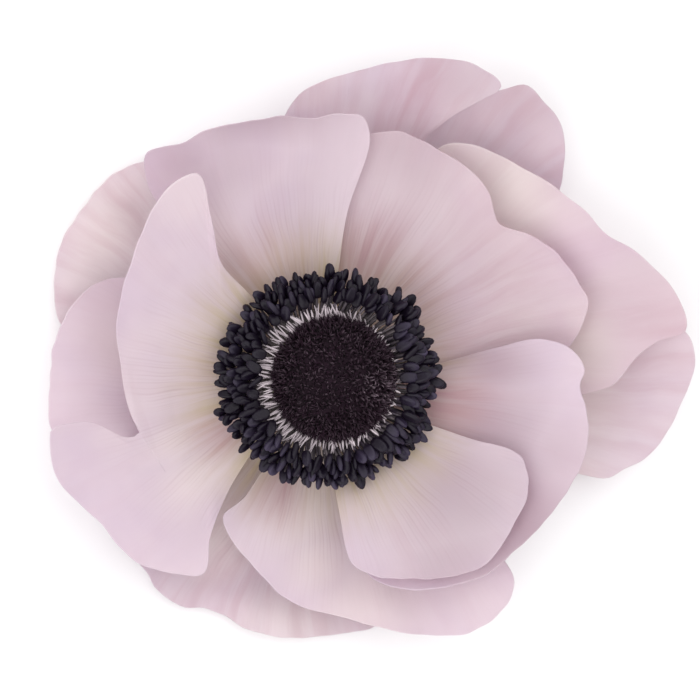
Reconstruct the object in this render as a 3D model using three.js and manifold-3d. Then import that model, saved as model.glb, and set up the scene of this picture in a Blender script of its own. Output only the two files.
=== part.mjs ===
// An open anemone bloom, picked close under its head and lying face up.
// Thirteen tepals in five layers rise round a ring of dark stamens and a furry carpel head.
// Millimetres, +Z up. The outer tepals dip and rest on the plane z = 0.
// Azimuths are in degrees about the bloom's own axis, from +X towards +Y.
import * as THREE from "three";
import * as BufferGeometryUtils from "three/addons/utils/BufferGeometryUtils.js";
import Module from "manifold-3d";

const wasm = await Module();
wasm.setup();

// The bloom's axis, seen from the middle of the whole flower, which is its origin.
const BLOOM_AXIS = new THREE.Vector3(-6.5, -3.6, 0);

// Tepal blades
const BLADE = 0.64;
const CLAW_RADIUS = 5.2;
const CLAW_HALF_WIDTH = 2.5;
const OUTLINE_STEPS = 28;
const RIM_ROWS = 4;
const SPINE_SHARE = 0.38;
const SHAPING_STARTS = 11;
const SHAPING_FULL = 26;
const TWIST_STARTS = 8;
const TWIST_FULL = 20;

// The bowl that the layers form: the outermost layer sags to the surface, the innermost cups.
const BOWL_NEAR = 5.5;
const BOWL_FAR = 40;
const OUTER_LAYER = { height: 2.5, fall: -12.9, rise: 14.3 };
const INNER_LAYER = { height: 6.7, fall: -3.6, rise: 24.2 };
const LAYERS = 4;

// Receptacle and the stub of the cut stem
const STEM_RADIUS = 1.9;
const STEM_FOOT = 0.5;
const COLUMN_RADIUS = 4.2;
const COLUMN_FOOT = 1.75;
const COLUMN_TOP = 7.0;
const COLUMN_CHAMFER = 0.4;
const FLARE_HEIGHT = 0.8;
const NECK_RADIUS = 3.5;
const NECK_TOP = 9.4;

// Carpel head
const HEAD_OFFSET = 1.15;
const HEAD_RADIUS = 7.6;
const HEAD_FOOT = 9.7;
const HEAD_RIM = 10.6;
const HEAD_TOP = 13.8;
const STYLE_COUNT = 120;
const HEAD_STEPS = 6;
const STYLE_LENGTH = 1.7;
const STYLE_RADIUS = 0.52;
const STYLE_LEAN = { top: 10, rim: 82, stray: 6, strayRound: 10 };
const GOLDEN_ANGLE = 180 * (3 - Math.sqrt(5));

// Stamens
const RING_INNER = 3.85;
const RING_OUTER = 7.0;
const RING_FOOT = 7.45;
const RING_TOP = 8.65;
const FILAMENT_RADIUS = 0.24;
const ANTHER_LENGTH = 3.1;
const ANTHER_WIDTH = 1.75;
const ANTHER_FLATNESS = 0.84;
const ANTHER_SHIFT = 0.42;
const ANTHER_STRAY = { place: 0.25, radius: 0.4, height: 0.35, pitch: 9, turn: 14, length: 0.12 };
const FILAMENT_ROOT = -1.0;
const FILAMENT_BEND = { out: 1.6, up: 0.1 };
const FILAMENT_JOINT = 0.12;
const ANTHER_ROWS = [
  { count: 42, radius: 13.1, height: 9.6, pitch: 4 },
  { count: 35, radius: 12.0, height: 10.6, pitch: 14 },
  { count: 28, radius: 11.1, height: 11.6, pitch: 26 },
];

// Each outline runs from the claw's right side round the rim to its left, seen from the axis,
// as [azimuth, distance from the axis]. Layer 0 lies lowest. A twist takes a tepal from its own
// layer to another between two azimuths. A spine is where a tepal's middle line ends, if that
// isn't the middle of its rim.
const TEPALS = [
  {
    name: "tepal_left_inner", layer: 4, claw: 179, cup: 1.2, waves: 2, wave: 0.3,
    twists: [{ layer: 1.6, from: 150, until: 212 }], spine: [208, 24], steps: 40,
    outline: [[136, 9], [131, 14], [132, 20], [126, 26], [123.5, 31], [132, 31.7], [143, 30.4],
      [156, 28.9], [166, 27.8], [174.5, 26.5], [185.5, 25.6], [192, 25.1], [196.5, 24.6],
      [197, 25.6], [195.8, 27], [192.8, 28.7], [190.3, 30.6], [189.6, 33.2], [190, 35.8],
      [192, 36.3], [200, 36.7], [212.5, 34.2], [223.5, 33.7], [232.5, 31.5], [238.5, 29.4],
      [234.8, 24.7], [230, 17], [222, 9]],
  },
  {
    name: "tepal_lower_right_inner", layer: 4, claw: 305, cup: 1.2, waves: 3, wave: 0.3,
    twists: [{ layer: 3.5, from: 300, until: 338 }],
    outline: [[278, 9], [277, 13], [277, 18], [277, 22.5], [278, 24], [283, 25.7], [290, 27.1],
      [299, 29], [312, 30.8], [325, 29.8], [331, 29.3], [337, 27.8], [339, 26], [338, 21],
      [337, 15], [333, 9]],
  },
  {
    name: "tepal_top_left_inner", layer: 3, claw: 106, cup: 1.0, waves: 3, wave: 0.4,
    twists: [{ layer: 2.6, from: 112, until: 80 }, { layer: 1.7, from: 116, until: 134 }],
    outline: [[79, 9], [80, 14], [81, 22], [79.5, 31], [82, 33.6], [87, 34], [94, 33.6],
      [100, 34.3], [109, 34.8], [117, 35.7], [122.6, 35.6], [129, 36.9], [132.3, 34.2],
      [134, 30], [135.5, 25], [136, 16], [134, 9]],
  },
  {
    name: "tepal_right_inner", layer: 3, claw: 330, cup: 1.4, waves: 4, wave: 0.4,
    outline: [[296, 9], [287, 15], [282, 22.7], [283, 26.1], [292, 29.2], [304, 31.3],
      [313, 32.4], [325, 33], [340, 34], [352, 33.5], [359, 32.5], [362, 33],
      [367, 31.5], [370.5, 28], [370, 23], [367, 16], [361, 9]],
  },
  {
    name: "tepal_top_right_inner", layer: 2, claw: 48, cup: 0.9, waves: 4, wave: 0.4,
    twists: [{ layer: 1.65, from: 60, until: 10 }],
    outline: [[16, 9], [6, 16], [1, 25], [6, 31.5], [12, 34.6], [17, 35.9], [22, 35],
      [29, 34.2], [35, 32.8], [41, 30.7], [44, 31], [49, 32.2], [55, 32.8], [67, 33.2],
      [74, 33.2], [82, 31], [87, 26], [86, 16], [79, 9]],
  },
  {
    name: "tepal_bottom", layer: 1.45, claw: 272, cup: 0.9, waves: 3, wave: 0.35,
    outline: [[242, 9], [239, 14], [238, 18.5], [235, 21.7], [239, 23.1], [246, 24.8],
      [254, 27], [261, 28.8], [269, 30.1], [283, 32.9], [294, 36.5], [300, 37.8], [306, 37.7],
      [311, 37], [314, 35.4], [316, 29], [312, 17], [303, 9]],
  },
  {
    name: "tepal_left", layer: 1, claw: 188, cup: 0.9, waves: 3, wave: 0.4,
    outline: [[162, 9], [153, 16], [150, 24], [153.5, 29.3], [160, 32.7], [168, 34.5],
      [179, 34.9], [188, 35.8], [193, 35], [198, 32], [200, 28], [202, 22], [204, 15], [208, 9]],
  },
  {
    name: "tepal_top", layer: 1, claw: 86, cup: 0.7, waves: 3, wave: 0.45,
    outline: [[58, 9], [61, 16], [66, 26], [66.5, 33], [65, 36.3], [61, 41], [59, 43.6],
      [61, 44.4], [66, 44.5], [70, 43.8], [77, 41.9], [86, 39.5], [95, 36.5], [100, 32],
      [106, 20], [113, 9]],
  },
  {
    name: "tepal_right", layer: 1, claw: 20, cup: 0.9, waves: 4, wave: 0.5,
    outline: [[351, 9], [349, 17], [352, 27], [357, 35.5], [359, 38.1], [364, 40.7],
      [366.5, 43.5], [367.5, 46.5], [372, 46.8], [376, 46], [383, 43.1], [387, 41], [394, 40],
      [405, 38.2], [418, 36], [423, 33.5], [423, 26], [417, 16], [409, 9]],
  },
  {
    name: "tepal_upper_left_outer", layer: 0, claw: 147, cup: 0.6, waves: 4, wave: 0.4,
    outline: [[110, 9], [106, 15], [112, 24], [120, 31.5], [123, 34.2], [129, 36.4],
      [135, 37.5], [144, 37.8], [151, 37.9], [156, 37.3], [162, 36], [168, 34.1], [175, 28],
      [183, 20], [186, 14], [182, 9]],
  },
  {
    name: "tepal_upper_right_outer", layer: 0, claw: 55, cup: 0.6, waves: 3, wave: 0.4,
    outline: [[22, 9], [21, 15], [26, 24], [33, 33], [36, 38.4], [40, 41.9], [46, 45.5],
      [51, 46.5], [55, 46.7], [58, 44.3], [63, 41], [74, 34], [86, 24], [91, 15], [88, 9]],
  },
  {
    name: "tepal_right_outer", layer: 0, claw: 350, cup: 0.6, waves: 4, wave: 0.5,
    outline: [[317, 9], [312, 15], [317, 24], [332, 31.5], [339, 34.7], [341, 40.4],
      [344, 42.5], [347, 44.8], [355, 47.3], [363, 48.8], [367, 48.1], [370, 45.6], [375, 39],
      [378, 30], [377, 20], [375, 9]],
  },
  {
    name: "tepal_bottom_left_outer", layer: 0, claw: 250, cup: 0.5, waves: 4, wave: 0.4,
    outline: [[214, 9], [204, 15], [206, 25], [211, 31.5], [216, 33.4], [229, 33.7],
      [232, 34.4], [239, 34.6], [244, 33.4], [250, 33.3], [254, 33.8], [266, 34.2],
      [278, 33.6], [285, 32.9], [292, 29], [300, 21], [300, 14], [290, 9]],
  },
];

const PETAL_COLOR = 0xe3d5de;
const PETAL_SHADE = 0xd8c6cf;
const ANTHER_COLOR = 0x20202c;
const HEAD_COLOR = 0x1d1118;
const STEM_COLOR = 0x8a9460;

// A seeded generator, so that each build scatters the small pieces alike.
function randomSource(seed) {
  let state = seed;
  return () => {
    state = (state + 0x6d2b79f5) | 0;
    let mixed = Math.imul(state ^ (state >>> 15), 1 | state);
    mixed = (mixed + Math.imul(mixed ^ (mixed >>> 7), 61 | mixed)) ^ mixed;
    return ((mixed ^ (mixed >>> 14)) >>> 0) / 4294967296;
  };
}

function onPlan(azimuth, radius, z = 0) {
  const angle = THREE.MathUtils.degToRad(azimuth);
  return new THREE.Vector3(radius * Math.cos(angle), radius * Math.sin(angle), z);
}

// Height of a layer's middle surface at a distance from the axis, before a tepal's own shaping.
function bowlHeight(layer, radius) {
  const share = layer / LAYERS;
  const mix = (key) => THREE.MathUtils.lerp(OUTER_LAYER[key], INNER_LAYER[key], share);
  const reach = (radius - BOWL_NEAR) / (BOWL_FAR - BOWL_NEAR);
  return mix("height") + mix("fall") * reach + mix("rise") * reach * reach;
}

// The layer that a tepal follows at a place, which its twists change away from the claw.
function layerAt({ layer, claw, twists = [] }, plan, radius) {
  const turn = THREE.MathUtils.radToDeg(Math.atan2(plan.y, plan.x)) - claw;
  const azimuth = claw + THREE.MathUtils.euclideanModulo(turn + 180, 360) - 180;
  const free = THREE.MathUtils.smoothstep(radius, TWIST_STARTS, TWIST_FULL);
  return twists.reduce((reached, twist) => {
    const way = (azimuth - twist.from) / (twist.until - twist.from);
    return reached + (twist.layer - layer) * THREE.MathUtils.smoothstep(way, 0, 1) * free;
  }, layer);
}

// The rim is cupped up and gently waved, more so away from the claw. Where an outer tepal would
// sag below the surface that the bloom lies on, it lies flat on it instead.
function tepalHeight(tepal, plan, across, around) {
  const radius = Math.hypot(plan.x, plan.y);
  const free = THREE.MathUtils.smoothstep(radius, SHAPING_STARTS, SHAPING_FULL);
  const wave = tepal.wave * Math.sin(2 * Math.PI * tepal.waves * around) * across ** 3;
  const bowl = bowlHeight(layerAt(tepal, plan, radius), radius);
  return Math.max(bowl + free * (tepal.cup * across ** 2 + wave), BLADE / 2);
}

// The middle surface runs in rows from a spine along the tepal's middle out to its rim.
function tepalSheet(tepal) {
  const clawAngle = THREE.MathUtils.radToDeg(CLAW_HALF_WIDTH / CLAW_RADIUS);
  const corners = [-clawAngle, clawAngle].map((turn) => onPlan(tepal.claw + turn, CLAW_RADIUS));
  const rimPoints = tepal.outline.map(([azimuth, radius]) => onPlan(azimuth, radius));
  const rim = new THREE.CatmullRomCurve3([corners[0], ...rimPoints, corners[1]], false, "centripetal");
  const steps = tepal.steps ?? OUTLINE_STEPS;
  const rimSamples = rim.getSpacedPoints(steps);
  const spineFoot = onPlan(tepal.claw, CLAW_RADIUS * Math.cos(CLAW_HALF_WIDTH / CLAW_RADIUS));
  const middle = rimSamples.reduce((sum, point) => sum.add(point), new THREE.Vector3());
  const spineEnd = tepal.spine ? onPlan(...tepal.spine) : middle.divideScalar(rimSamples.length);

  const points = [];
  const rows = [];
  for (let column = 0; column <= steps; column++) {
    const around = column / steps;
    const along = Math.min(1, Math.min(around, 1 - around) / SPINE_SHARE);
    const inner = spineFoot.clone().lerp(spineEnd, along);
    const line = [];
    for (let row = 0; row <= RIM_ROWS; row++) {
      const across = row / RIM_ROWS;
      const point = inner.clone().lerp(rimSamples[column], across);
      point.z = tepalHeight(tepal, point, across, around);
      const same = points.findIndex((other) => other.distanceTo(point) < 1e-6);
      line.push(same < 0 ? points.push(point) - 1 : same);
    }
    rows.push(line);
  }

  const triangles = [];
  const addTriangle = (a, b, c) => {
    if (a !== b && b !== c && c !== a) triangles.push([a, b, c]);
  };
  for (let column = 0; column < steps; column++) {
    for (let row = 0; row < RIM_ROWS; row++) {
      const [near, far] = [rows[column], rows[column + 1]];
      addTriangle(near[row], near[row + 1], far[row + 1]);
      addTriangle(near[row], far[row + 1], far[row]);
    }
  }
  return { points, triangles };
}

// A blade of even thickness about a sheet, split into triangles alike on both faces.
function bladeGeometry({ points, triangles }) {
  const normals = points.map(() => new THREE.Vector3());
  const edges = new Set();
  for (const [a, b, c] of triangles) {
    const side = points[b].clone().sub(points[a]);
    const facing = side.cross(points[c].clone().sub(points[a]));
    [a, b, c].forEach((corner) => normals[corner].add(facing));
    [[a, b], [b, c], [c, a]].forEach(([from, to]) => edges.add(`${from},${to}`));
  }
  const positions = [];
  for (const side of [0.5, -0.5]) {
    points.forEach((point, i) => {
      const offset = normals[i].clone().normalize().multiplyScalar(side * BLADE);
      positions.push(...point.clone().add(offset).toArray());
    });
  }
  const below = points.length;
  const index = [];
  for (const [a, b, c] of triangles) {
    index.push(a, b, c, below + c, below + b, below + a);
    for (const [from, to] of [[a, b], [b, c], [c, a]]) {
      if (!edges.has(`${to},${from}`)) {
        index.push(from, below + from, below + to, from, below + to, to);
      }
    }
  }
  const geometry = new THREE.BufferGeometry();
  geometry.setAttribute("position", new THREE.Float32BufferAttribute(positions, 3));
  geometry.setIndex(index);
  return geometry;
}

function toSolid(geometry) {
  const bare = geometry.clone();
  bare.deleteAttribute("normal");
  bare.deleteAttribute("uv");
  const merged = BufferGeometryUtils.mergeVertices(bare, 1e-5);
  return new wasm.Manifold(new wasm.Mesh({
    numProp: 3,
    vertProperties: new Float32Array(merged.attributes.position.array),
    triVerts: new Uint32Array(merged.index.array),
  }));
}

// Joins the pieces two by two, so that each join stays small.
function fuse(geometries) {
  let solids = geometries.map(toSolid);
  while (solids.length > 1) {
    const joined = [];
    for (let i = 0; i < solids.length; i += 2) {
      joined.push(i + 1 < solids.length ? solids[i].add(solids[i + 1]) : solids[i]);
    }
    solids = joined;
  }
  const mesh = solids[0].getMesh();
  const geometry = new THREE.BufferGeometry();
  geometry.setAttribute("position", new THREE.BufferAttribute(mesh.vertProperties, 3));
  geometry.setIndex(new THREE.BufferAttribute(mesh.triVerts, 1));
  return geometry;
}

// A turned piece about the axis; LatheGeometry turns about Y, so it is stood up.
function turned(profile, segments) {
  const points = profile.map(([radius, z]) => new THREE.Vector2(radius, z));
  return new THREE.LatheGeometry(points, segments).rotateX(Math.PI / 2);
}

function receptacleGeometry() {
  return turned([
    [0, STEM_FOOT],
    [STEM_RADIUS, STEM_FOOT],
    [STEM_RADIUS, COLUMN_FOOT - FLARE_HEIGHT],
    [COLUMN_RADIUS * 0.75, COLUMN_FOOT - 0.35],
    [COLUMN_RADIUS, COLUMN_FOOT + 0.3],
    [COLUMN_RADIUS, COLUMN_TOP - COLUMN_CHAMFER],
    [COLUMN_RADIUS - COLUMN_CHAMFER, COLUMN_TOP],
    [NECK_RADIUS, COLUMN_TOP],
    [NECK_RADIUS, NECK_TOP],
    [0, NECK_TOP],
  ], 20);
}

// Points the piece's own +Y along a direction and sets it down at a place.
function aim(geometry, direction, place) {
  const turn = new THREE.Quaternion().setFromUnitVectors(new THREE.Vector3(0, 1, 0), direction);
  return geometry.applyQuaternion(turn).translate(place.x, place.y, place.z);
}

// The head's own surface at an angle down from its top: a low dome over a rounded rim.
function headPoint(azimuth, fall) {
  const rise = HEAD_TOP - STYLE_LENGTH * 0.6 - HEAD_RIM;
  const radius = (HEAD_RADIUS - 0.2) * Math.sin(fall);
  return onPlan(azimuth, radius, HEAD_RIM + rise * Math.cos(fall));
}

function carpelHeadGeometry() {
  const random = randomSource(7);
  const profile = [[0, HEAD_FOOT], [HEAD_RADIUS - 1.6, HEAD_FOOT], [HEAD_RADIUS - 0.4, HEAD_RIM - 0.3]];
  for (let step = HEAD_STEPS; step >= 0; step--) {
    const point = headPoint(0, (step / HEAD_STEPS) * (Math.PI / 2));
    profile.push([point.x, point.z]);
  }
  const pieces = [turned(profile, 24)];
  for (let i = 0; i < STYLE_COUNT; i++) {
    const share = (i + 0.5) / STYLE_COUNT;
    const fall = (Math.PI / 2) * Math.sqrt(share);
    const root = headPoint(i * GOLDEN_ANGLE, fall);
    const stray = STYLE_LEAN.stray * (2 * random() - 1);
    const lean = THREE.MathUtils.lerp(STYLE_LEAN.top, STYLE_LEAN.rim, share) + stray;
    const outward = onPlan(i * GOLDEN_ANGLE + STYLE_LEAN.strayRound * (2 * random() - 1), 1);
    const tilt = THREE.MathUtils.degToRad(lean);
    const direction = outward.multiplyScalar(Math.sin(tilt)).setZ(Math.cos(tilt));
    const style = new THREE.ConeGeometry(STYLE_RADIUS, STYLE_LENGTH, 3);
    pieces.push(aim(style, direction, root.addScaledVector(direction, STYLE_LENGTH * 0.1)));
  }
  return fuse(pieces).translate(HEAD_OFFSET, 0, 0);
}

function filamentGeometry(root, bend, tip) {
  const section = new THREE.Shape();
  for (let side = 0; side < 3; side++) {
    const corner = onPlan(side * 120, FILAMENT_RADIUS);
    section[side ? "lineTo" : "moveTo"](corner.x, corner.y);
  }
  return new THREE.ExtrudeGeometry(section, {
    steps: 2,
    bevelEnabled: false,
    extrudePath: new THREE.QuadraticBezierCurve3(root, bend, tip),
  });
}

function stamensGeometry() {
  const random = randomSource(11);
  const vary = (amount) => amount * (2 * random() - 1);
  const pieces = [turned([
    [RING_INNER, RING_FOOT],
    [RING_OUTER - 0.6, RING_FOOT],
    [RING_OUTER, RING_FOOT + 0.4],
    [RING_OUTER, RING_TOP - 0.4],
    [RING_OUTER - 0.6, RING_TOP],
    [RING_INNER, RING_TOP],
    [RING_INNER, RING_FOOT],
  ], 24)];
  for (const row of ANTHER_ROWS) {
    for (let i = 0; i < row.count; i++) {
      const azimuth = (360 * (i + vary(ANTHER_STRAY.place))) / row.count + row.pitch;
      const radius = row.radius + vary(ANTHER_STRAY.radius);
      const centre = onPlan(azimuth, radius, row.height + vary(ANTHER_STRAY.height));
      centre.x += ANTHER_SHIFT * (1 + Math.cos(THREE.MathUtils.degToRad(azimuth)));
      const pitch = THREE.MathUtils.degToRad(row.pitch + vary(ANTHER_STRAY.pitch));
      const along = onPlan(azimuth + vary(ANTHER_STRAY.turn), Math.cos(pitch), Math.sin(pitch));
      const anther = new THREE.SphereGeometry(1, 5, 3);
      const halfLength = (ANTHER_LENGTH / 2) * (1 + vary(ANTHER_STRAY.length));
      anther.scale(ANTHER_WIDTH / 2, halfLength, (ANTHER_WIDTH / 2) * ANTHER_FLATNESS);
      pieces.push(aim(anther, along, centre));
      const root = onPlan(azimuth, RING_OUTER + FILAMENT_ROOT, (RING_FOOT + RING_TOP) / 2);
      const bend = onPlan(azimuth, RING_OUTER + FILAMENT_BEND.out, RING_TOP + FILAMENT_BEND.up);
      const joint = centre.clone().addScaledVector(along, -ANTHER_LENGTH * FILAMENT_JOINT);
      pieces.push(filamentGeometry(root, bend, joint));
    }
  }
  return fuse(pieces);
}

function addPiece(group, name, geometry, color, roughness) {
  const material = new THREE.MeshStandardMaterial({ color, roughness, metalness: 0 });
  const mesh = new THREE.Mesh(geometry, material);
  mesh.name = name;
  group.add(mesh);
}

const bloom = new THREE.Group();
bloom.position.copy(BLOOM_AXIS);
for (const tepal of TEPALS) {
  const color = tepal.layer > 1.5 ? PETAL_COLOR : PETAL_SHADE;
  addPiece(bloom, tepal.name, bladeGeometry(tepalSheet(tepal)), color, 0.7);
}
addPiece(bloom, "carpel_head", carpelHeadGeometry(), HEAD_COLOR, 0.85);
addPiece(bloom, "stamens", stamensGeometry(), ANTHER_COLOR, 0.6);
addPiece(bloom, "receptacle", receptacleGeometry(), STEM_COLOR, 0.7);

const flower = new THREE.Group();
flower.add(bloom);

export default flower;
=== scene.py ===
"""An open anemone bloom lying face up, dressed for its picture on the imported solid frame.

The bloom is thirteen thin tepals round a ring of dark stamens and a furry carpel head. Each tepal
keeps the outline and the bowl of its solid, with a finer blade, ruffled rim, folds and veins.
Everything is in metres in the row's frame; the shapes are worked out in millimetres first.
"""

import logging
import math
from dataclasses import dataclass, field
from enum import Enum

import bpy
import numpy as np
from bpy.types import Material, Node, NodeSocket, NodeTree, Object
from mathutils import Matrix, Vector


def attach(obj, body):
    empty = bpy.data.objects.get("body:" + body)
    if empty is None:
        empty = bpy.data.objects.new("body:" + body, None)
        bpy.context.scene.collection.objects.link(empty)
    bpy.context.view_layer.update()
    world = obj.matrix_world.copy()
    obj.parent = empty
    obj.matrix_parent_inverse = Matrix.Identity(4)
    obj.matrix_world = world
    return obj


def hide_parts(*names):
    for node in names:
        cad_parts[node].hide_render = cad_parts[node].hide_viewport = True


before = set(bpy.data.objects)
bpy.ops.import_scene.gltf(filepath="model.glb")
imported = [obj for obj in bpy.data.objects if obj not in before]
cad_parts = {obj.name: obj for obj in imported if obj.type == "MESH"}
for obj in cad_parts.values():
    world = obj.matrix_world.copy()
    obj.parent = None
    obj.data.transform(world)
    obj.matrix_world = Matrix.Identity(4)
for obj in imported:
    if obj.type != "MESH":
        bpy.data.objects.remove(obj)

LOG = logging.getLogger("anemone")

MM = 0.001
BODY = "root"
BLOOM_AXIS = np.array([-6.5, -3.6, 0.0])
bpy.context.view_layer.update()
ON_AXIS = 1e-6
NO_LENGTH = 1e-12
DEGREES_PER_FAN = 57.3
GOLDEN_TURN = 180 * (3 - math.sqrt(5))
GOLDEN_SHARE = 0.618
NUMBER, COLOUR = "NodeSocketFloat", "NodeSocketColor"

Array = np.ndarray
Colour = tuple[float, float, float, float]
Span = tuple[float, float]
Faces = list[tuple[int, ...]]


def smoothstep(value: Array, low: float, high: float) -> Array:
    """Smooth 0 to 1 ramp of value between low and high."""
    share = np.clip((value - low) / (high - low), 0.0, 1.0)
    return share * share * (3.0 - 2.0 * share)


def wrapped(degrees: Array) -> Array:
    """Angles brought within -180 to 180 degrees."""
    return (degrees + 180.0) % 360.0 - 180.0


def on_plan(azimuth: Array | float, radius: Array | float) -> Array:
    """Plan position in millimetres about the bloom's axis, for azimuths in degrees."""
    angle = np.radians(azimuth)
    return np.stack([radius * np.cos(angle), radius * np.sin(angle)], axis=-1)


def raised(plan: Array, height: Array | float) -> Array:
    """Plan points with their heights."""
    return np.concatenate([plan, np.broadcast_to(height, plan.shape[:-1])[..., None]], axis=-1)


def in_row_frame(points: Array) -> Array:
    """Points about the bloom's axis in millimetres, turned into metres in the row's frame."""
    return (np.asarray(points) + BLOOM_AXIS) * MM


class SeededDraw:
    """The small seeded generator that also scatters the solid model's stamens."""

    MASK = 0xFFFFFFFF

    def __init__(self, seed: int) -> None:
        """Starts the sequence at a seed."""
        self.state = seed

    def vary(self, amount: float) -> float:
        """The next number of the sequence.

        Args:
            amount: How far it may lie from zero.

        Returns:
            A number from -amount to amount.
        """
        self.state = (self.state + 0x6D2B79F5) & self.MASK
        mixed = ((self.state ^ (self.state >> 15)) * (1 | self.state)) & self.MASK
        turned_over = ((mixed ^ (mixed >> 7)) * (61 | mixed)) & self.MASK
        mixed = ((mixed + turned_over) & self.MASK) ^ mixed
        share = ((mixed ^ (mixed >> 14)) & self.MASK) / 4294967296
        return amount * (2.0 * share - 1.0)


@dataclass(frozen=True)
class Ripple:
    """A smooth seeded wandering line, the sum of a few sines.

    Attributes:
        number: What is added to the piece's own seed.
        slowest: Lowest number of turns per unit.
        fastest: Highest number of turns per unit.
        height: About how far the line swings to each side.
        waves: How many sines are added up.
    """

    number: int
    slowest: float
    fastest: float
    height: float = 1.0
    waves: int = 7

    def line(self, seed: int, place: Array) -> Array:
        """The line's height along a piece.

        Args:
            seed: The piece's own seed.
            place: Where it is wanted, in the line's units.

        Returns:
            The height at each place.
        """
        draw = np.random.default_rng(seed + self.number)
        ranges = ((self.slowest, self.fastest), (0, 2 * math.pi), (0.5, 1.0))
        turns, phases, heights = (draw.uniform(low, high, self.waves) for low, high in ranges)
        swings = np.sin(2 * math.pi * np.multiply.outer(place, turns) + phases) * heights
        return self.height * (swings.sum(axis=-1) / np.sqrt((heights**2).sum()))


class NodeBuilder:
    """Short ways to add and join nodes in a tree."""

    def __init__(self, tree: NodeTree) -> None:
        """Wraps a node tree."""
        self.tree = tree

    def node(self, kind: str, inputs: dict[str | int, object] | None = None, **settings: object) -> Node:
        """Adds a node.

        Args:
            kind: The node's type name.
            inputs: What its inputs are set or joined to, by their names or numbers.
            settings: Its plain properties and their values.

        Returns:
            The new node.
        """
        made = self.tree.nodes.new(kind)
        for name, value in settings.items():
            setattr(made, name, value)
        for key, value in (inputs or {}).items():
            self.plug(value, made.inputs[key])
        return made

    def plug(self, source: object, target: NodeSocket) -> None:
        """Sets an input.

        Args:
            source: Another node's output, or a plain value.
            target: The input.
        """
        if isinstance(source, NodeSocket):
            self.tree.links.new(source, target)
        else:
            target.default_value = source


class ShaderTree(NodeBuilder):
    """Short ways to build the tree of a material or a shader group."""

    def math(self, operation: str, *values: object) -> NodeSocket:
        """The result of one Math node on sockets or numbers."""
        return self.node("ShaderNodeMath", dict(enumerate(values)), operation=operation).outputs[0]

    def add(self, first: object, second: object) -> NodeSocket:
        """The sum of two values."""
        return self.math("ADD", first, second)

    def minus(self, first: object, second: object) -> NodeSocket:
        """The first value less the second."""
        return self.math("SUBTRACT", first, second)

    def times(self, first: object, second: object) -> NodeSocket:
        """The product of two values."""
        return self.math("MULTIPLY", first, second)

    def ramp(self, value: object, low: object, high: object) -> NodeSocket:
        """A smooth 0 to 1 ramp of a value between two limits."""
        inputs = dict(enumerate((value, low, high, 0.0, 1.0)))
        return self.node("ShaderNodeMapRange", inputs, interpolation_type="SMOOTHSTEP").outputs[0]

    def mix(self, factor: object, first: object, second: object) -> NodeSocket:
        """A blend of two colours."""
        inputs = {"Factor": factor, 6: first, 7: second}
        return self.node("ShaderNodeMix", inputs, data_type="RGBA").outputs[2]

    def noise(self, place: object, scale: object, detail: float, rough: float = 0.5) -> NodeSocket:
        """A noise value at a place."""
        inputs = {"Vector": place, "Scale": scale, "Detail": detail, "Roughness": rough}
        return self.node("ShaderNodeTexNoise", inputs).outputs[0]

    def own_place(self) -> NodeSocket:
        """Places in the piece's own space."""
        return self.node("ShaderNodeTexCoord").outputs["Object"]

    def attribute(self, name: str) -> NodeSocket:
        """The value of a piece's own attribute."""
        return self.node("ShaderNodeAttribute", attribute_name=name).outputs["Fac"]

    def bump(self, height: NodeSocket, strength: float, depth: float) -> NodeSocket:
        """The normals of a relief, its depth in millimetres."""
        inputs = {"Strength": strength, "Distance": depth * MM, "Height": height}
        return self.node("ShaderNodeBump", inputs).outputs[0]

    def effect(self, tree: NodeTree, inputs: dict[str, object]) -> bpy.types.NodeOutputs:
        """Puts one of the shared effects in a material, and gives its outputs."""
        return self.node("ShaderNodeGroup", inputs, node_tree=tree).outputs


def new_group(
    name: str, inputs: dict[str, float | Colour], outputs: dict[str, str]
) -> tuple[ShaderTree, bpy.types.NodeOutputs, bpy.types.NodeInputs]:
    """Starts a shader node group with named sockets.

    Args:
        name: The group's name.
        inputs: Input names and their defaults, each a number or a colour.
        outputs: Output names and their socket types.

    Returns:
        The wrapped tree, what goes in to it, and what comes out.
    """
    tree = bpy.data.node_groups.new(name, "ShaderNodeTree")
    for socket, value in inputs.items():
        kind = COLOUR if isinstance(value, tuple) else NUMBER
        tree.interface.new_socket(name=socket, in_out="INPUT", socket_type=kind).default_value = value
    for socket, kind in outputs.items():
        tree.interface.new_socket(name=socket, in_out="OUTPUT", socket_type=kind)
    shader = ShaderTree(tree)
    return shader, shader.node("NodeGroupInput").outputs, shader.node("NodeGroupOutput").inputs


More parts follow.
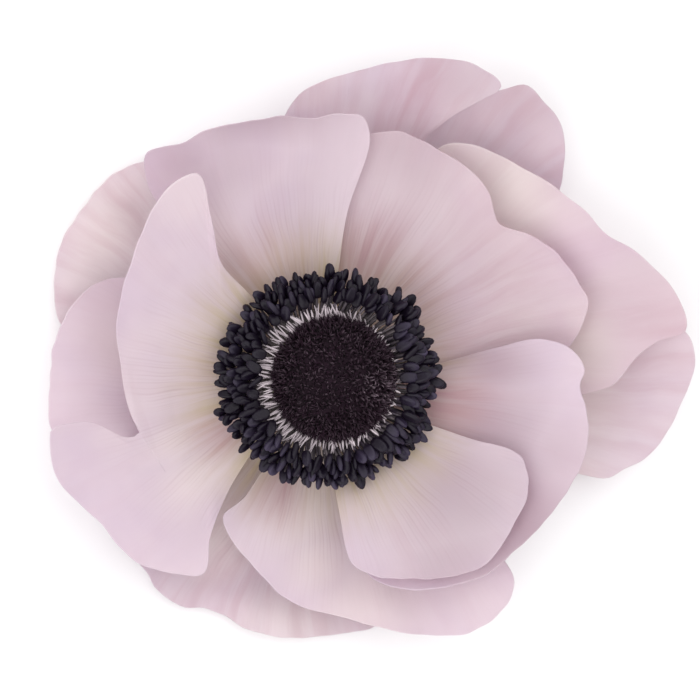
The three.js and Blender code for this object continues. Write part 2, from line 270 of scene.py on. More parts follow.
@dataclass(frozen=True)
class VeinPattern:
    """Veins that fan out of the claw and fork towards the rim, with the fine grain between them.

    Sizes across the fan are shares of a radian, and those along it are distances from the claw in
    millimetres. Each noise is its scale across and along the fan, its own scale, detail and
    roughness. Each order of veins is its forks, where it opens, and the veins' width.
    """

    sway: float = 0.16
    sway_noise: tuple[float, ...] = (1.0, 0.035, 1.6, 2.0)
    crowding: float = 0.07
    crowd_noise: tuple[float, ...] = (13.0, 0.0, 1.0, 1.0)
    orders: tuple[tuple[float, float, float], ...] = ((1.0, -1.0, 0.16), (2.0, 10.0, 0.24))
    opening: float = 9.0
    fork_shift: float = 0.37
    fork_depth: float = 0.6
    patch_noise: tuple[float, ...] = (5.0, 0.12, 1.0, 2.0)
    patch_band: Span = (0.35, 0.65)
    streak_noise: tuple[float, ...] = (15.0, 0.06, 1.0, 4.0, 0.6)
    streak_band: Span = (0.36, 0.68)
    crinkle_noise: tuple[float, ...] = (26.0, 0.10, 1.0, 3.0, 0.55)
    grain_noise: tuple[float, ...] = (2600.0, 3.0, 0.6)
    calm_band: Span = (14.0, 32.0)
    streak_relief: float = 0.26
    crinkle_relief: float = 0.14
    vein_relief: float = 0.2
    grain_relief: float = 0.07

    def build(self) -> NodeTree:
        """Makes the group.

        Returns:
            The group, with a vein mask, a soft streak mask and a relief height.
        """
        shader, given, result = new_group(
            "fanning_veins",
            {"Seed": 0.0, "Vein Count": 22.0, "Far Relief": 0.3},
            {"Veins": NUMBER, "Streaks": NUMBER, "Relief": NUMBER},
        )
        add, minus, times, ramp = shader.add, shader.minus, shader.times, shader.ramp
        fan, reach = shader.attribute("fan"), shader.attribute("reach")

        def drawn_out(across: NodeSocket, crowding: float, lengthwise: float, *noise: float) -> NodeSocket:
            """A noise that is drawn out along the veins."""
            inputs = {0: times(across, crowding), 1: times(reach, lengthwise), 2: given["Seed"]}
            return shader.noise(shader.node("ShaderNodeCombineXYZ", inputs).outputs[0], *noise)

        bent = add(fan, times(minus(drawn_out(fan, *self.sway_noise), 0.5), self.sway))
        bent = add(bent, times(minus(drawn_out(fan, *self.crowd_noise), 0.5), self.crowding))
        lines = []
        for forks, opens, width in self.orders:
            across = times(times(bent, given["Vein Count"]), forks)
            step = shader.math("PINGPONG", add(across, self.fork_shift * forks), 0.5)
            line = minus(1.0, ramp(step, 0.0, width))
            lines.append(times(line, ramp(reach, opens, opens + self.opening)))
        veins = shader.math("MAXIMUM", lines[0], times(lines[1], self.fork_depth))
        veins = times(veins, ramp(drawn_out(fan, *self.patch_noise), *self.patch_band))
        streaks = ramp(drawn_out(bent, *self.streak_noise), *self.streak_band)
        crinkle = drawn_out(bent, *self.crinkle_noise)
        grain = times(shader.noise(shader.own_place(), *self.grain_noise), self.grain_relief)
        calm = minus(1.0, times(ramp(reach, *self.calm_band), minus(1.0, given["Far Relief"])))
        folds = add(times(streaks, self.streak_relief), times(crinkle, self.crinkle_relief))
        folds = minus(folds, times(veins, self.vein_relief))
        shader.plug(veins, result["Veins"])
        shader.plug(streaks, result["Streaks"])
        shader.plug(add(times(folds, calm), grain), result["Relief"])
        return shader.tree


@dataclass(frozen=True)
class Mottle:
    """Slow uneven colour over a surface, from one tone to another, in the piece's own space."""

    scale: float = 60.0
    detail: float = 3.0
    roughness: float = 0.55
    band: Span = (0.36, 0.64)

    def build(self) -> NodeTree:
        """Makes the group.

        Returns:
            The group, with a colour output.
        """
        inputs = {"Tone": (1, 1, 1, 1), "Other Tone": (0, 0, 0, 1), "Scale": self.scale, "Amount": 1.0}
        shader, given, result = new_group("slow_mottle", inputs, {"Colour": COLOUR})
        cloud = shader.noise(shader.own_place(), given["Scale"], self.detail, self.roughness)
        amount = shader.times(shader.ramp(cloud, *self.band), given["Amount"])
        shader.plug(shader.mix(amount, given["Tone"], given["Other Tone"]), result["Colour"])
        return shader.tree


@dataclass(frozen=True)
class EffectGroups:
    """The shader effects that more than one finish uses, each built once."""

    veins: NodeTree = field(default_factory=VeinPattern().build)
    mottle: NodeTree = field(default_factory=Mottle().build)


def new_material(name: str) -> tuple[Material, ShaderTree, NodeSocket]:
    """Starts a node material.

    Args:
        name: The material's name.

    Returns:
        The material, its wrapped tree and the socket that takes its surface.
    """
    material = bpy.data.materials.new(name)
    material.use_nodes = True
    material.node_tree.nodes.clear()
    shader = ShaderTree(material.node_tree)
    return material, shader, shader.node("ShaderNodeOutputMaterial").inputs["Surface"]


class TepalTone(Enum):
    """Which whorl's colouring a tepal has."""

    INNER = "inner"
    MIDDLE = "middle"
    OUTER = "outer"


@dataclass(frozen=True)
class TepalFinish:
    """Thin, softly lit tepal tissue: pale lilac and cream, green-tan at the claw, with rosy streaks, painted
    shade where its shade mask lies, and cream patches that are partly painted light.
    """

    name: str
    petal: Colour
    cream: Colour
    vein_show: float
    seed: float
    streaky: float = 0.05
    far_relief: float = 0.3
    claw: Colour = (0.65, 0.55, 0.36, 1)
    painted_shade_colour: Colour = (0.56, 0.42, 0.48, 1)
    rosy: Colour = (0.60, 0.36, 0.42, 1)
    vein: Colour = (0.46, 0.29, 0.34, 1)
    claw_fades: Span = (10.5, 21.5)
    claw_under_cream_and_light: float = 0.5
    veins_fade: Span = (9.0, 32.0)
    unevenness: float = 0.55
    mottle_scale: float = 58.0
    mottle_amount: float = 0.4
    relief_strength: float = 0.32
    relief_depth: float = 0.12
    through: float = 0.42

    def build(self, effects: EffectGroups) -> Material:
        """Makes the material.

        Args:
            effects: The shared shader effects.

        Returns:
            The finished material.
        """
        material, shader, surface = new_material(self.name)
        minus, times, mix = shader.minus, shader.times, shader.mix
        reach, creamy = shader.attribute("reach"), shader.attribute("creamy")
        lines = shader.effect(effects.veins, {"Seed": self.seed, "Far Relief": self.far_relief})
        mottle = {"Scale": self.mottle_scale, "Amount": self.mottle_amount}
        tones = {"Tone": self.petal, "Other Tone": self.cream, **mottle}
        # Painted light: the cream mask lightens the tissue towards cream; in part this is the tepal's own
        # cream, in part it lightens places in the shade of the layers above.
        colour = mix(creamy, shader.effect(effects.mottle, tones)["Colour"], self.cream)
        # Painted shade: the shade mask darkens places that face away from the light or lie in the shade of
        # other tepals.
        colour = mix(shader.attribute("dusky"), colour, self.painted_shade_colour)
        colour = mix(times(lines["Streaks"], self.streaky), colour, self.rosy)
        uneven = shader.add(1.0 - self.unevenness, times(lines["Streaks"], self.unevenness))
        near = minus(1.0, shader.ramp(reach, *self.claw_fades))
        near = times(near, minus(1.0, times(creamy, self.claw_under_cream_and_light)))
        colour = mix(times(near, uneven), colour, self.claw)
        colour = mix(times(shader.attribute("rosy"), uneven), colour, self.rosy)
        fading = minus(1.0, shader.ramp(reach, *self.veins_fade))
        colour = mix(times(times(lines["Veins"], fading), self.vein_show), colour, self.vein)
        normal = shader.bump(lines["Relief"], self.relief_strength, self.relief_depth)
        skin = shader.node("ShaderNodeBsdfPrincipled", {
            "Base Color": colour, "Normal": normal, "Roughness": 0.6, "Specular IOR Level": 0.2,
            "Sheen Weight": 0.05, "Sheen Roughness": 0.6,
        })
        glow = shader.node("ShaderNodeBsdfTranslucent", {"Color": colour, "Normal": normal})
        shares = {0: self.through, 1: skin.outputs[0], 2: glow.outputs[0]}
        shader.plug(shader.node("ShaderNodeMixShader", shares).outputs[0], surface)
        return material


# The middle and outer whorls' cream, and the outer whorl's claw colour, are made light enough to serve as
# painted light on places in the shade of the layers above.
TEPAL_FINISHES = {
    TepalTone.INNER: TepalFinish("tepal_inner", (0.79, 0.68, 0.76, 1), (0.91, 0.82, 0.83, 1), 0.30, 1.7),
    TepalTone.MIDDLE: TepalFinish(
        "tepal_middle", (0.79, 0.65, 0.73, 1), (0.89, 0.82, 0.80, 1), 0.32, 4.3, 0.08, 0.7
    ),
    TepalTone.OUTER: TepalFinish(
        "tepal_outer", (0.77, 0.665, 0.735, 1), (0.93, 0.86, 0.85, 1), 0.35, 8.9, 0.17, 1.3,
        claw=(0.84, 0.73, 0.54, 1),
    ),
}


@dataclass(frozen=True)
class GradedFinish:
    """A finish that runs from one colour at a piece's root to another at its tip, with uneven tone."""

    name: str
    root: Colour
    tip: Colour
    highlight: Colour
    roughness: float
    turn: Span = (0.0, 1.0)
    gloss: float = 0.3
    sheen: float = 0.0
    grain_scale: float = 1800.0
    grain_depth: float = 0.03
    grain_strength: float = 0.5
    mottle_scale: float = 420.0
    mottle_amount: float = 0.3

    def build(self, effects: EffectGroups) -> Material:
        """Makes the material.

        Args:
            effects: The shared shader effects.

        Returns:
            The finished material.
        """
        material, shader, surface = new_material(self.name)
        bright = shader.mix(shader.attribute("shade"), self.tip, self.highlight)
        colour = shader.mix(shader.ramp(shader.attribute("along"), *self.turn), self.root, bright)
        mottle = {"Scale": self.mottle_scale, "Amount": self.mottle_amount}
        tones = {"Tone": colour, "Other Tone": self.root, **mottle}
        grain = shader.noise(shader.own_place(), self.grain_scale, 3.0, 0.6)
        skin = shader.node("ShaderNodeBsdfPrincipled", {
            "Base Color": shader.effect(effects.mottle, tones)["Colour"],
            "Normal": shader.bump(grain, self.grain_strength, self.grain_depth),
            "Roughness": self.roughness, "Specular IOR Level": self.gloss,
            "Sheen Weight": self.sheen, "Sheen Roughness": 0.45,
        })
        shader.plug(skin.outputs[0], surface)
        return material


CARPEL_FUR = GradedFinish(
    "carpel_fur", (0.007, 0.002, 0.005, 1), (0.018, 0.006, 0.014, 1), (0.19, 0.14, 0.17, 1), 0.6,
    gloss=0.12, sheen=0.03,
)
ANTHER_SKIN = GradedFinish(
    "anther_skin", (0.006, 0.003, 0.008, 1), (0.008, 0.005, 0.013, 1), (0.090, 0.070, 0.130, 1), 0.34,
    gloss=0.22, grain_scale=2600.0, grain_depth=0.12,
)
FILAMENT_SKIN = GradedFinish(
    "filament_skin", (0.32, 0.28, 0.27, 1), (0.02, 0.012, 0.024, 1), (0.16, 0.13, 0.16, 1), 0.5,
    turn=(0.3, 0.7),
)
FRINGE_SKIN = GradedFinish(
    "fringe_skin", (0.035, 0.010, 0.026, 1), (0.40, 0.34, 0.37, 1), (0.70, 0.61, 0.65, 1), 0.55,
    turn=(0.20, 0.50),
)
GREEN_FLESH = GradedFinish(
    "green_flesh", (0.30, 0.31, 0.16, 1), (0.36, 0.35, 0.22, 1), (0.42, 0.40, 0.28, 1), 0.5
)


def add_object(name: str, data: bpy.types.ID) -> Object:
    """Puts an object in the scene, at the origin.

    Args:
        name: The object's name.
        data: Its mesh, camera or light.

    Returns:
        The linked object.
    """
    made = bpy.data.objects.new(name, data)
    bpy.context.scene.collection.objects.link(made)
    return made


def mesh_object(name: str, points: Array, faces: Faces, edges: Faces | None = None) -> Object:
    """Makes a smooth-shaded mesh object at the origin.

    Args:
        name: The object's name.
        points: Vertices in metres in the row's frame.
        faces: Vertex indices of each face, facing out.
        edges: Vertex indices of each loose edge.

    Returns:
        The linked object.
    """
    mesh = bpy.data.meshes.new(name)
    mesh.from_pydata([tuple(point) for point in np.asarray(points, float)], edges or [], faces)
    mesh.polygons.foreach_set("use_smooth", [True] * len(mesh.polygons))
    mesh.update()
    return add_object(name, mesh)


def store(made: Object, name: str, values: Array) -> None:
    """Stores one number, or one vector, for each vertex.

    Args:
        made: The mesh object.
        name: The attribute's name.
        values: A number or a vector for each vertex, in order.
    """
    values = np.asarray(values, np.float32)
    kind, key = ("FLOAT_VECTOR", "vector") if values.ndim == 2 else ("FLOAT", "value")
    made.data.attributes.new(name, kind, "POINT").data.foreach_set(key, values.ravel())


def ring_faces(rings: list[list[int]]) -> Faces:
    """Faces from each ring of vertices to the next one above it.

    Args:
        rings: Vertex indices round each ring, or one index over and over where it is a pole.

    Returns:
        The faces, facing out.
    """
    faces = []
    for low, high in zip(rings, rings[1:]):
        for side in range(len(low)):
            after = (side + 1) % len(low)
            faces.append(tuple(dict.fromkeys((low[side], low[after], high[after], high[side]))))
    return [face for face in faces if len(face) > 2]


def turned(name: str, profile: list[Span], sides: int, centre: float = 0.0) -> Object:
    """A closed piece turned about the bloom's axis.

    Args:
        name: The object's name.
        profile: Radius and height in millimetres, from the axis below, out and back to the axis on top.
        sides: Number of sides.
        centre: How far the piece's own axis stands to +X of the bloom's.

    Returns:
        The object, with the attribute "along" running up its profile.
    """
    points, along, rings = [], [], []
    for step, (radius, height) in enumerate(profile):
        count = sides if radius > ON_AXIS else 1
        rings.append([len(points) + side % count for side in range(sides)])
        points += [(centre + x, y, height) for x, y in on_plan(360.0 * np.arange(count) / sides, radius)]
        along += [step / (len(profile) - 1)] * count
    made = mesh_object(name, in_row_frame(np.array(points)), ring_faces(rings))
    store(made, "along", np.array(along))
    return made


class NodeRecipe(NodeBuilder):
    """A geometry node tree with named inputs, run once on a piece and turned into its plain mesh."""

    def __init__(self, name: str, own: str, kind: str) -> None:
        """Starts a tree with the inputs Geometry, Material and one of its own, and a geometry output.

        Args:
            name: The tree's name.
            own: Name of its own input.
            kind: Socket type of its own input.
        """
        super().__init__(bpy.data.node_groups.new(name, "GeometryNodeTree"))
        new_socket = self.tree.interface.new_socket
        sockets = {"Geometry": "NodeSocketGeometry", own: kind, "Material": "NodeSocketMaterial"}
        self.identifiers = {
            key: new_socket(name=key, in_out="INPUT", socket_type=value).identifier
            for key, value in sockets.items()
        }
        new_socket(name="Geometry", in_out="OUTPUT", socket_type="NodeSocketGeometry")
        self.given = self.node("NodeGroupInput").outputs

    def read(self, name: str, kind: str = "FLOAT") -> NodeSocket:
        """The value of an attribute that the base's points carry."""
        made = self.node("GeometryNodeInputNamedAttribute", {"Name": name}, data_type=kind)
        return made.outputs["Attribute"]

    def finish(self, geometry: NodeSocket) -> None:
        """Ends the tree: instances become real faces, which take the material.

        Args:
            geometry: What the tree has made.
        """
        real = self.node("GeometryNodeRealizeInstances", {"Geometry": geometry}).outputs[0]
        inputs = {"Geometry": real, "Material": self.given["Material"]}
        painted = self.node("GeometryNodeSetMaterial", inputs).outputs[0]
        self.node("NodeGroupOutput", {"Geometry": painted})

    def run(self, name: str, base: Object, values: dict[str, object]) -> Object:
        """Applies the tree to a base object and keeps only the result.

        Args:
            name: The result's name.
            base: The object the tree works on, which is removed.
            values: A value for each named input but the geometry.

        Returns:
            A plain mesh object at the origin.
        """
        modifier = base.modifiers.new(name, "NODES")
        modifier.node_group = self.tree
        for key, value in values.items():
            modifier[self.identifiers[key]] = value
        depsgraph = bpy.context.evaluated_depsgraph_get()
        mesh = bpy.data.meshes.new_from_object(base.evaluated_get(depsgraph), depsgraph=depsgraph)
        base.modifiers.remove(modifier)
        bpy.data.objects.remove(base)
        mesh.name = name
        mesh.polygons.foreach_set("use_smooth", [True] * len(mesh.polygons))
        return add_object(name, mesh)


class Scatter(NodeRecipe):
    """Sets a copy of one small piece on each point of the base.

    The points carry "aim" (direction of the copy's own +Z), "spin" (turn about it, in radians),
    "size" (scale along each of the copy's axes) and "tone", which goes to the copy as "shade".
    """

    def __init__(self) -> None:
        """Builds the tree, with its own input "Piece"."""
        super().__init__("scattered_copies", "Piece", "NodeSocketObject")
        aim = {"Vector": self.read("aim", "FLOAT_VECTOR")}
        aimed = self.node("FunctionNodeAlignRotationToVector", aim, axis="Z").outputs[0]
        about = {"Axis": (0.0, 0.0, 1.0), "Angle": self.read("spin")}
        spin = self.node("FunctionNodeAxisAngleToRotation", about).outputs[0]
        both = {"Rotation": aimed, "Rotate By": spin}
        piece = self.node("GeometryNodeObjectInfo", {"Object": self.given["Piece"]})
        copies = self.node("GeometryNodeInstanceOnPoints", {
            "Points": self.node("GeometryNodeMeshToPoints", {"Mesh": self.given["Geometry"]}).outputs[0],
            "Instance": piece.outputs["Geometry"],
            "Rotation": self.node("FunctionNodeRotateRotation", both, rotation_space="LOCAL").outputs[0],
            "Scale": self.read("size", "FLOAT_VECTOR"),
        })
        tone = {"Name": "shade", "Geometry": copies.outputs[0], "Value": self.read("tone")}
        toned = self.node("GeometryNodeStoreNamedAttribute", tone, data_type="FLOAT", domain="INSTANCE")
        self.finish(toned.outputs[0])

    def place(
        self, name: str, piece: Object, material: Material,
        places: Array, aims: Array, spins: Array, sizes: Array, tones: Array,
    ) -> Object:
        """Sets a copy of a small piece at each place and joins them in one mesh.

        Args:
            name: The result's name.
            piece: The small piece, about its own root, which is removed.
            material: The material that the copies take.
            places: Where each root goes, in millimetres about the bloom's axis.
            aims: Direction of each copy's own +Z.
            spins: Turn of each copy about that direction, in radians.
            sizes: Scale of each copy along its own axes.
            tones: How far each copy's colour goes to the finish's highlight.

        Returns:
            The joined mesh object.
        """
        base = mesh_object(f"{name}_places", in_row_frame(places), [])
        for key, values in (("aim", aims), ("spin", spins), ("size", sizes), ("tone", tones)):
            store(base, key, values)
        made = self.run(name, base, {"Piece": piece, "Material": material})
        bpy.data.objects.remove(piece)
        return made


class Strands(NodeRecipe):
    """Gives each line of the base a round, tapering thickness.

    The points carry "girth", their radius in metres, and any colour attributes.
    """

    def __init__(self) -> None:
        """Builds the tree, with its own input "Sides"."""
        super().__init__("strands", "Sides", "NodeSocketInt")
        ring = {"Resolution": self.given["Sides"], "Radius": 1.0}
        tube = self.node("GeometryNodeCurveToMesh", {
            "Curve": self.node("GeometryNodeMeshToCurve", {"Mesh": self.given["Geometry"]}).outputs[0],
            "Profile Curve": self.node("GeometryNodeCurvePrimitiveCircle", ring).outputs[0],
            "Scale": self.read("girth"),
            "Fill Caps": True,
        })
        self.finish(tube.outputs[0])

    def place(
        self, name: str, material: Material, paths: Array, girths: Array, tones: Array, sides: int
    ) -> Object:
        """Sets round strands along paths and joins them in one mesh.

        Args:
            name: The result's name.
            material: The strands' material.
            paths: Points of each strand, in millimetres about the bloom's axis.
            girths: Radius at each point, in millimetres.
            tones: Highlight share of each strand.
            sides: Sides of each strand.

        Returns:
            The joined mesh object, with "along" from 0 at the roots to 1 at the tips.
        """
        count, steps = paths.shape[:2]
        starts = [strand * steps + step for strand in range(count) for step in range(steps - 1)]
        edges = [(start, start + 1) for start in starts]
        base = mesh_object(f"{name}_lines", in_row_frame(paths.reshape(-1, 3)), [], edges)
        store(base, "girth", (girths * MM).ravel())
        store(base, "along", np.tile(np.linspace(0, 1, steps), count))
        store(base, "shade", np.repeat(tones, steps))
        return self.run(name, base, {"Sides": sides, "Material": material})


def place_piece(made: Object, slot: str, *nodes: str) -> None:
    """Makes a piece ride on the flower and stand for its solids.

    Args:
        made: The piece.
        slot: The record's material slot; not used.
        nodes: The solids that it stands for.
    """
    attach(made, BODY)
    if nodes:
        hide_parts(*nodes)
    LOG.info("%s: %d faces", made.name, len(made.data.polygons))


@dataclass(frozen=True)
class Bowl:
    """The bowl that the layers of tepals form, as in the solid model."""

    near: float = 5.5
    far: float = 40.0
    outer: tuple[float, float, float] = (2.5, -12.9, 14.3)
    inner: tuple[float, float, float] = (6.7, -3.6, 24.2)
    layers: float = 4.0

    def height(self, layer: Array, radius: Array) -> Array:
        """Height of a layer's middle surface.

        Args:
            layer: The layer at each place, 0 for the outermost.
            radius: Distance of each place from the axis.

        Returns:
            The height at each place, in millimetres.
        """
        height, fall, rise = (a + (b - a) * layer / self.layers for a, b in zip(self.outer, self.inner))
        reach = (radius - self.near) / (self.far - self.near)
        return height + fall * reach + rise * reach * reach


@dataclass(frozen=True)
class Roll:
    """A stretch of rim that rolls up or down.

    Attributes:
        azimuth: Middle of the stretch, in degrees about the bloom's axis.
        spread: Half of its length, in degrees.
        lift: Height that the rim gains, in millimetres.
        pull: How far the rim draws in towards the axis, in millimetres.
        starts: Share of the way from spine to rim where the roll begins.
        softness: Share of the spread over which the roll comes in at each end.
    """

    azimuth: float
    spread: float
    lift: float
    pull: float
    starts: float
    softness: float = 0.7


@dataclass(frozen=True)
class Twist:
    """Takes a tepal from its own layer to another between two azimuths, as in the solid model."""

    layer: float
    start: float
    until: float


class PatchKind(Enum):
    """What a patch on a tepal is, named as the mask that the finish reads. Rosy is the tepal's own colour;
    painted shade darkens places that face away from the light or lie in shade; the cream mask is partly the
    tepal's own cream and partly painted light on places in the shade of the layers above.
    """

    ROSY = "rosy"
    PAINTED_SHADE = "dusky"
    CREAM_AND_PAINTED_LIGHT = "creamy"


@dataclass(frozen=True)
class Patch:
    """A soft patch of colour on a tepal: the tepal's own rosy tint, painted shade, and cream that is partly
    painted light are each laid as such patches.

    Attributes:
        azimuth: Middle of the patch, in degrees about the bloom's axis.
        spread: Half of its width, in degrees.
        near: Distance from the axis, in millimetres, where it is at its full depth.
        reach: How far in or out from there it fades, in millimetres.
        strength: Its depth of colour, 0 to 1.
    """

    azimuth: float
    spread: float
    near: float
    reach: float
    strength: float

    def mask(self, azimuth: Array, radius: Array) -> Array:
        """Depth of the patch at places on the tepal."""
        beside = smoothstep(self.spread - np.abs(wrapped(azimuth - self.azimuth)), 0.0, self.spread)
        return self.strength * beside * (1 - smoothstep(np.abs(radius - self.near), 0.0, self.reach))


@dataclass(frozen=True)
class Tepal:
    """One tepal: a thin waved blade from its claw at the receptacle out to a ruffled rim.

    The outline, as azimuth and distance from the axis, runs from the claw's right side round the
    rim to its left, and the blade keeps the height rule of its solid. Patches of rosy tint, of painted
    shade and of cream that is partly painted light are given as the numbers of a Patch. Lengths are
    in millimetres and angles in degrees.
    """

    name: str
    layer: float
    claw: float
    cup: float
    waves: int
    wave: float
    outline: tuple[Span, ...]
    patches: dict[PatchKind, tuple[tuple[float, ...], ...]]
    tone: TepalTone = TepalTone.INNER
    slot: str = "petal"
    twists: tuple[Twist, ...] = ()
    rolls: tuple[Roll, ...] = ()
    spine: Span | None = None
    spine_shares: Span = (0.38, 0.38)
    columns: int = 168
    outline_steps: int = 24
    weld_digits: int = 5
    wave_power: int = 3
    ruffle_power: int = 5
    fine_ruffle_power: int = 9
    folds: float = 0.22
    crease: Ripple = Ripple(2, 0.9, 3.2)
    crease_swirl: float = 0.004
    fine_crease: Ripple = Ripple(3, 3.5, 7.0, 0.45)
    fine_creasing: Span = (18.0, 34.0)
    ruffles: float = 0.16
    ruffle: Ripple = Ripple(0, 4.0, 11.0)
    fine_ruffle: Ripple = Ripple(1, 14.0, 26.0, 0.25)
    raggedness: tuple[Ripple, ...] = (Ripple(5, 12.0, 34.0, 0.05), Ripple(6, 4.0, 9.0, 0.12))
    ragged_edge: Span = (0.6, 1.0)
    ragging: Span = (9.0, 16.0)
    narrowing: Span = (3.0, 15.0)
    side_share: float = 0.38
    rows: int = 26
    last_row: float = 0.99
    row_crowding: float = 0.82
    bowl: Bowl = Bowl()
    claw_radius: float = 4.6
    claw_half_width: float = 2.5
    solid_claw_radius: float = 5.2
    fan_radius: float = 2.0
    half_blade: float = 0.17
    half_rim: float = 0.05
    thinning: Span = (0.75, 1.0)
    shaping: Span = (11.0, 26.0)
    twisting: Span = (8.0, 20.0)
    floor_gap: float = 0.02
    floor_ease: float = 0.3

    @property
    def seed(self) -> int:
        """A seed of the tepal's own, from its name."""
        return sum(ord(letter) * (place + 1) for place, letter in enumerate(self.name))

    def rim_curve(self, around: Array) -> Array:
        """The rim on plan, along a centripetal curve through the outline.

        Args:
            around: Shares of the rim's length.

        Returns:
            A point at each share.
        """
        turn = math.degrees(self.claw_half_width / self.solid_claw_radius)
        ends = [on_plan(self.claw + side * turn, self.solid_claw_radius) for side in (-1, 1)]
        points = np.array([ends[0], *(on_plan(a, r) for a, r in self.outline), ends[1]])
        padded = np.vstack([2 * points[0] - points[1], points, 2 * points[-1] - points[-2]])
        share = np.linspace(0, 1, self.outline_steps, endpoint=False)[:, None]
        pieces = []
        for p0, p1, p2, p3 in zip(padded, padded[1:], padded[2:], padded[3:]):
            d0, d1, d2 = (math.sqrt(float(np.linalg.norm(b - a))) for a, b in ((p0, p1), (p1, p2), (p2, p3)))
            leave = ((p1 - p0) / d0 - (p2 - p0) / (d0 + d1) + (p2 - p1) / d1) * d1
            arrive = ((p2 - p1) / d1 - (p3 - p1) / (d1 + d2) + (p3 - p2) / d2) * d1
            curve = p1 + leave * share + (3 * (p2 - p1) - 2 * leave - arrive) * share**2
            pieces.append(curve + (2 * (p1 - p2) + leave + arrive) * share**3)
        dense = np.vstack([*pieces, points[-1:]])
        lengths = np.concatenate([[0], np.cumsum(np.linalg.norm(np.diff(dense, axis=0), axis=1))])
        places = around * lengths[-1]
        return np.stack([np.interp(places, lengths, dense[:, axis]) for axis in (0, 1)], axis=1)

    def plan(self) -> tuple[Array, Array, Array, Array]:
        """Lays the blade out on plan.

        Returns:
            Plan points by column and row, the share across from spine to rim, the share around, and
            how freely each column may be shaped, which is less where the rim is near the spine.
        """
        steps = np.arange(self.columns + 1)
        side = round(self.columns * self.side_share)
        first, last = self.spine_shares
        around = np.interp(steps, (0, side, self.columns - side, self.columns), (0, first, 1 - last, 1))
        along = np.clip(np.minimum(steps, self.columns - steps) / side, 0, 1)
        rim = self.rim_curve(around)
        foot = on_plan(self.claw, self.claw_radius)
        end = on_plan(*self.spine) if self.spine else rim.mean(axis=0)
        spine = foot + along[:, None] * (end - foot)
        across = np.append(np.linspace(0, self.last_row, self.rows) ** self.row_crowding, 1.0)
        points = spine[:, None] + across[None, :, None] * (rim - spine)[:, None]
        ragged = sum(ripple.line(self.seed, around) for ripple in self.raggedness)[:, None, None]
        radius = np.linalg.norm(points, axis=2, keepdims=True)
        edge = smoothstep(across, *self.ragged_edge)[None, :, None]
        points = points + points / radius * ragged * edge * smoothstep(radius, *self.ragging)
        width = smoothstep(np.linalg.norm(rim - spine, axis=1), *self.narrowing)[:, None]
        shape = points.shape[:2]
        return points, np.broadcast_to(across, shape), np.broadcast_to(around[:, None], shape), width

    def layer_at(self, azimuth: Array, radius: Array) -> Array:
        """The layer that the blade follows, which its twists change away from the claw.

        Args:
            azimuth: Azimuth of each place, in degrees.
            radius: Distance of each place from the axis.

        Returns:
            The layer at each place.
        """
        near = self.claw + wrapped(azimuth - self.claw)
        free = smoothstep(radius, *self.twisting)
        layer = np.full_like(radius, self.layer)
        for twist in self.twists:
            share = np.clip((near - twist.start) / (twist.until - twist.start), 0.0, 1.0)
            layer = layer + (twist.layer - self.layer) * smoothstep(share, 0.0, 1.0) * free
        return layer

    def middle(self) -> tuple[Array, Array]:
        """Raises the plan to the blade's middle surface.

        Returns:
            Points by column and row in millimetres, and the share across at each.
        """
        plan, across, around, width = self.plan()
        radius = np.linalg.norm(plan, axis=2)
        azimuth = np.degrees(np.arctan2(plan[..., 1], plan[..., 0]))
        free = smoothstep(radius, *self.shaping)
        wave = self.wave * np.sin(2 * math.pi * self.waves * around) * across**self.wave_power
        height = self.bowl.height(self.layer_at(azimuth, radius), radius)
        height = height + free * width * (self.cup * across**2 + wave)
        ruffle = self.ruffle.line(self.seed, around) * across**self.ruffle_power
        fine_ruffle = self.fine_ruffle.line(self.seed, around) * across**self.fine_ruffle_power
        fan = wrapped(azimuth - self.claw) / DEGREES_PER_FAN
        folds = self.crease.line(self.seed, fan + self.crease_swirl * radius)
        folds = folds + self.fine_crease.line(self.seed, fan) * smoothstep(radius, *self.fine_creasing)
        height = height + free * (width * self.ruffles * (ruffle + fine_ruffle) + self.folds * folds)
        for roll in self.rolls:
            beside = roll.spread - np.abs(wrapped(azimuth - roll.azimuth))
            beside = smoothstep(beside, 0.0, roll.spread * roll.softness)
            curl = beside * np.clip((across - roll.starts) / (1 - roll.starts), 0, 1) ** 2
            height = height + roll.lift * curl
            plan = plan * (1 - roll.pull * curl / radius)[..., None]
        rest, ease = self.half_blade + self.floor_gap, self.floor_ease
        eased = ease * np.exp((height - rest) / ease - 1.0)
        height = rest + np.where(height > rest + ease, height - rest, eased)
        return raised(plan, height), across

    def build(self, material: Material) -> None:
        """Makes the blade as one closed mesh, in its solid's place.

        It carries "fan" and "reach" for its veins and a mask for each kind of patch: rosy tint, painted
        shade, and cream that is partly painted light.

        Args:
            material: The finish of the tepal's tone.
        """
        grid, across = self.middle()
        flat = np.round(grid.reshape(-1, 3), self.weld_digits)
        _, first, same = np.unique(flat, axis=0, return_index=True, return_inverse=True)
        index = same.reshape(across.shape).tolist()
        points = grid.reshape(-1, 3)[first]
        faces = []
        for near, far in zip(index, index[1:]):
            for row in range(len(near) - 1):
                faces.append(tuple(dict.fromkeys((near[row], near[row + 1], far[row + 1], far[row]))))
        faces = [face for face in faces if len(face) > 2]
        normals = np.zeros_like(points)
        for face in faces:
            a, b, c = points[face[0]], points[face[1]], points[face[-1]]
            facing = np.cross(b - a, c - a)
            for corner in face:
                normals[corner] += facing
        normals /= np.maximum(np.linalg.norm(normals, axis=1, keepdims=True), NO_LENGTH)

        thin = smoothstep(across.reshape(-1)[first], *self.thinning)
        half = (self.half_rim + (self.half_blade - self.half_rim) * (1 - thin))[:, None]
        shell = np.vstack([points + normals * half, points - normals * half])
        below = len(points)
        edges = {(face[i], face[(i + 1) % len(face)]) for face in faces for i in range(len(face))}
        sides = [(a, below + a, below + b, b) for a, b in edges if (b, a) not in edges]
        under = [tuple(below + corner for corner in reversed(face)) for face in faces]
        made = mesh_object(f"{self.name}_blade", in_row_frame(shell), faces + under + sides)

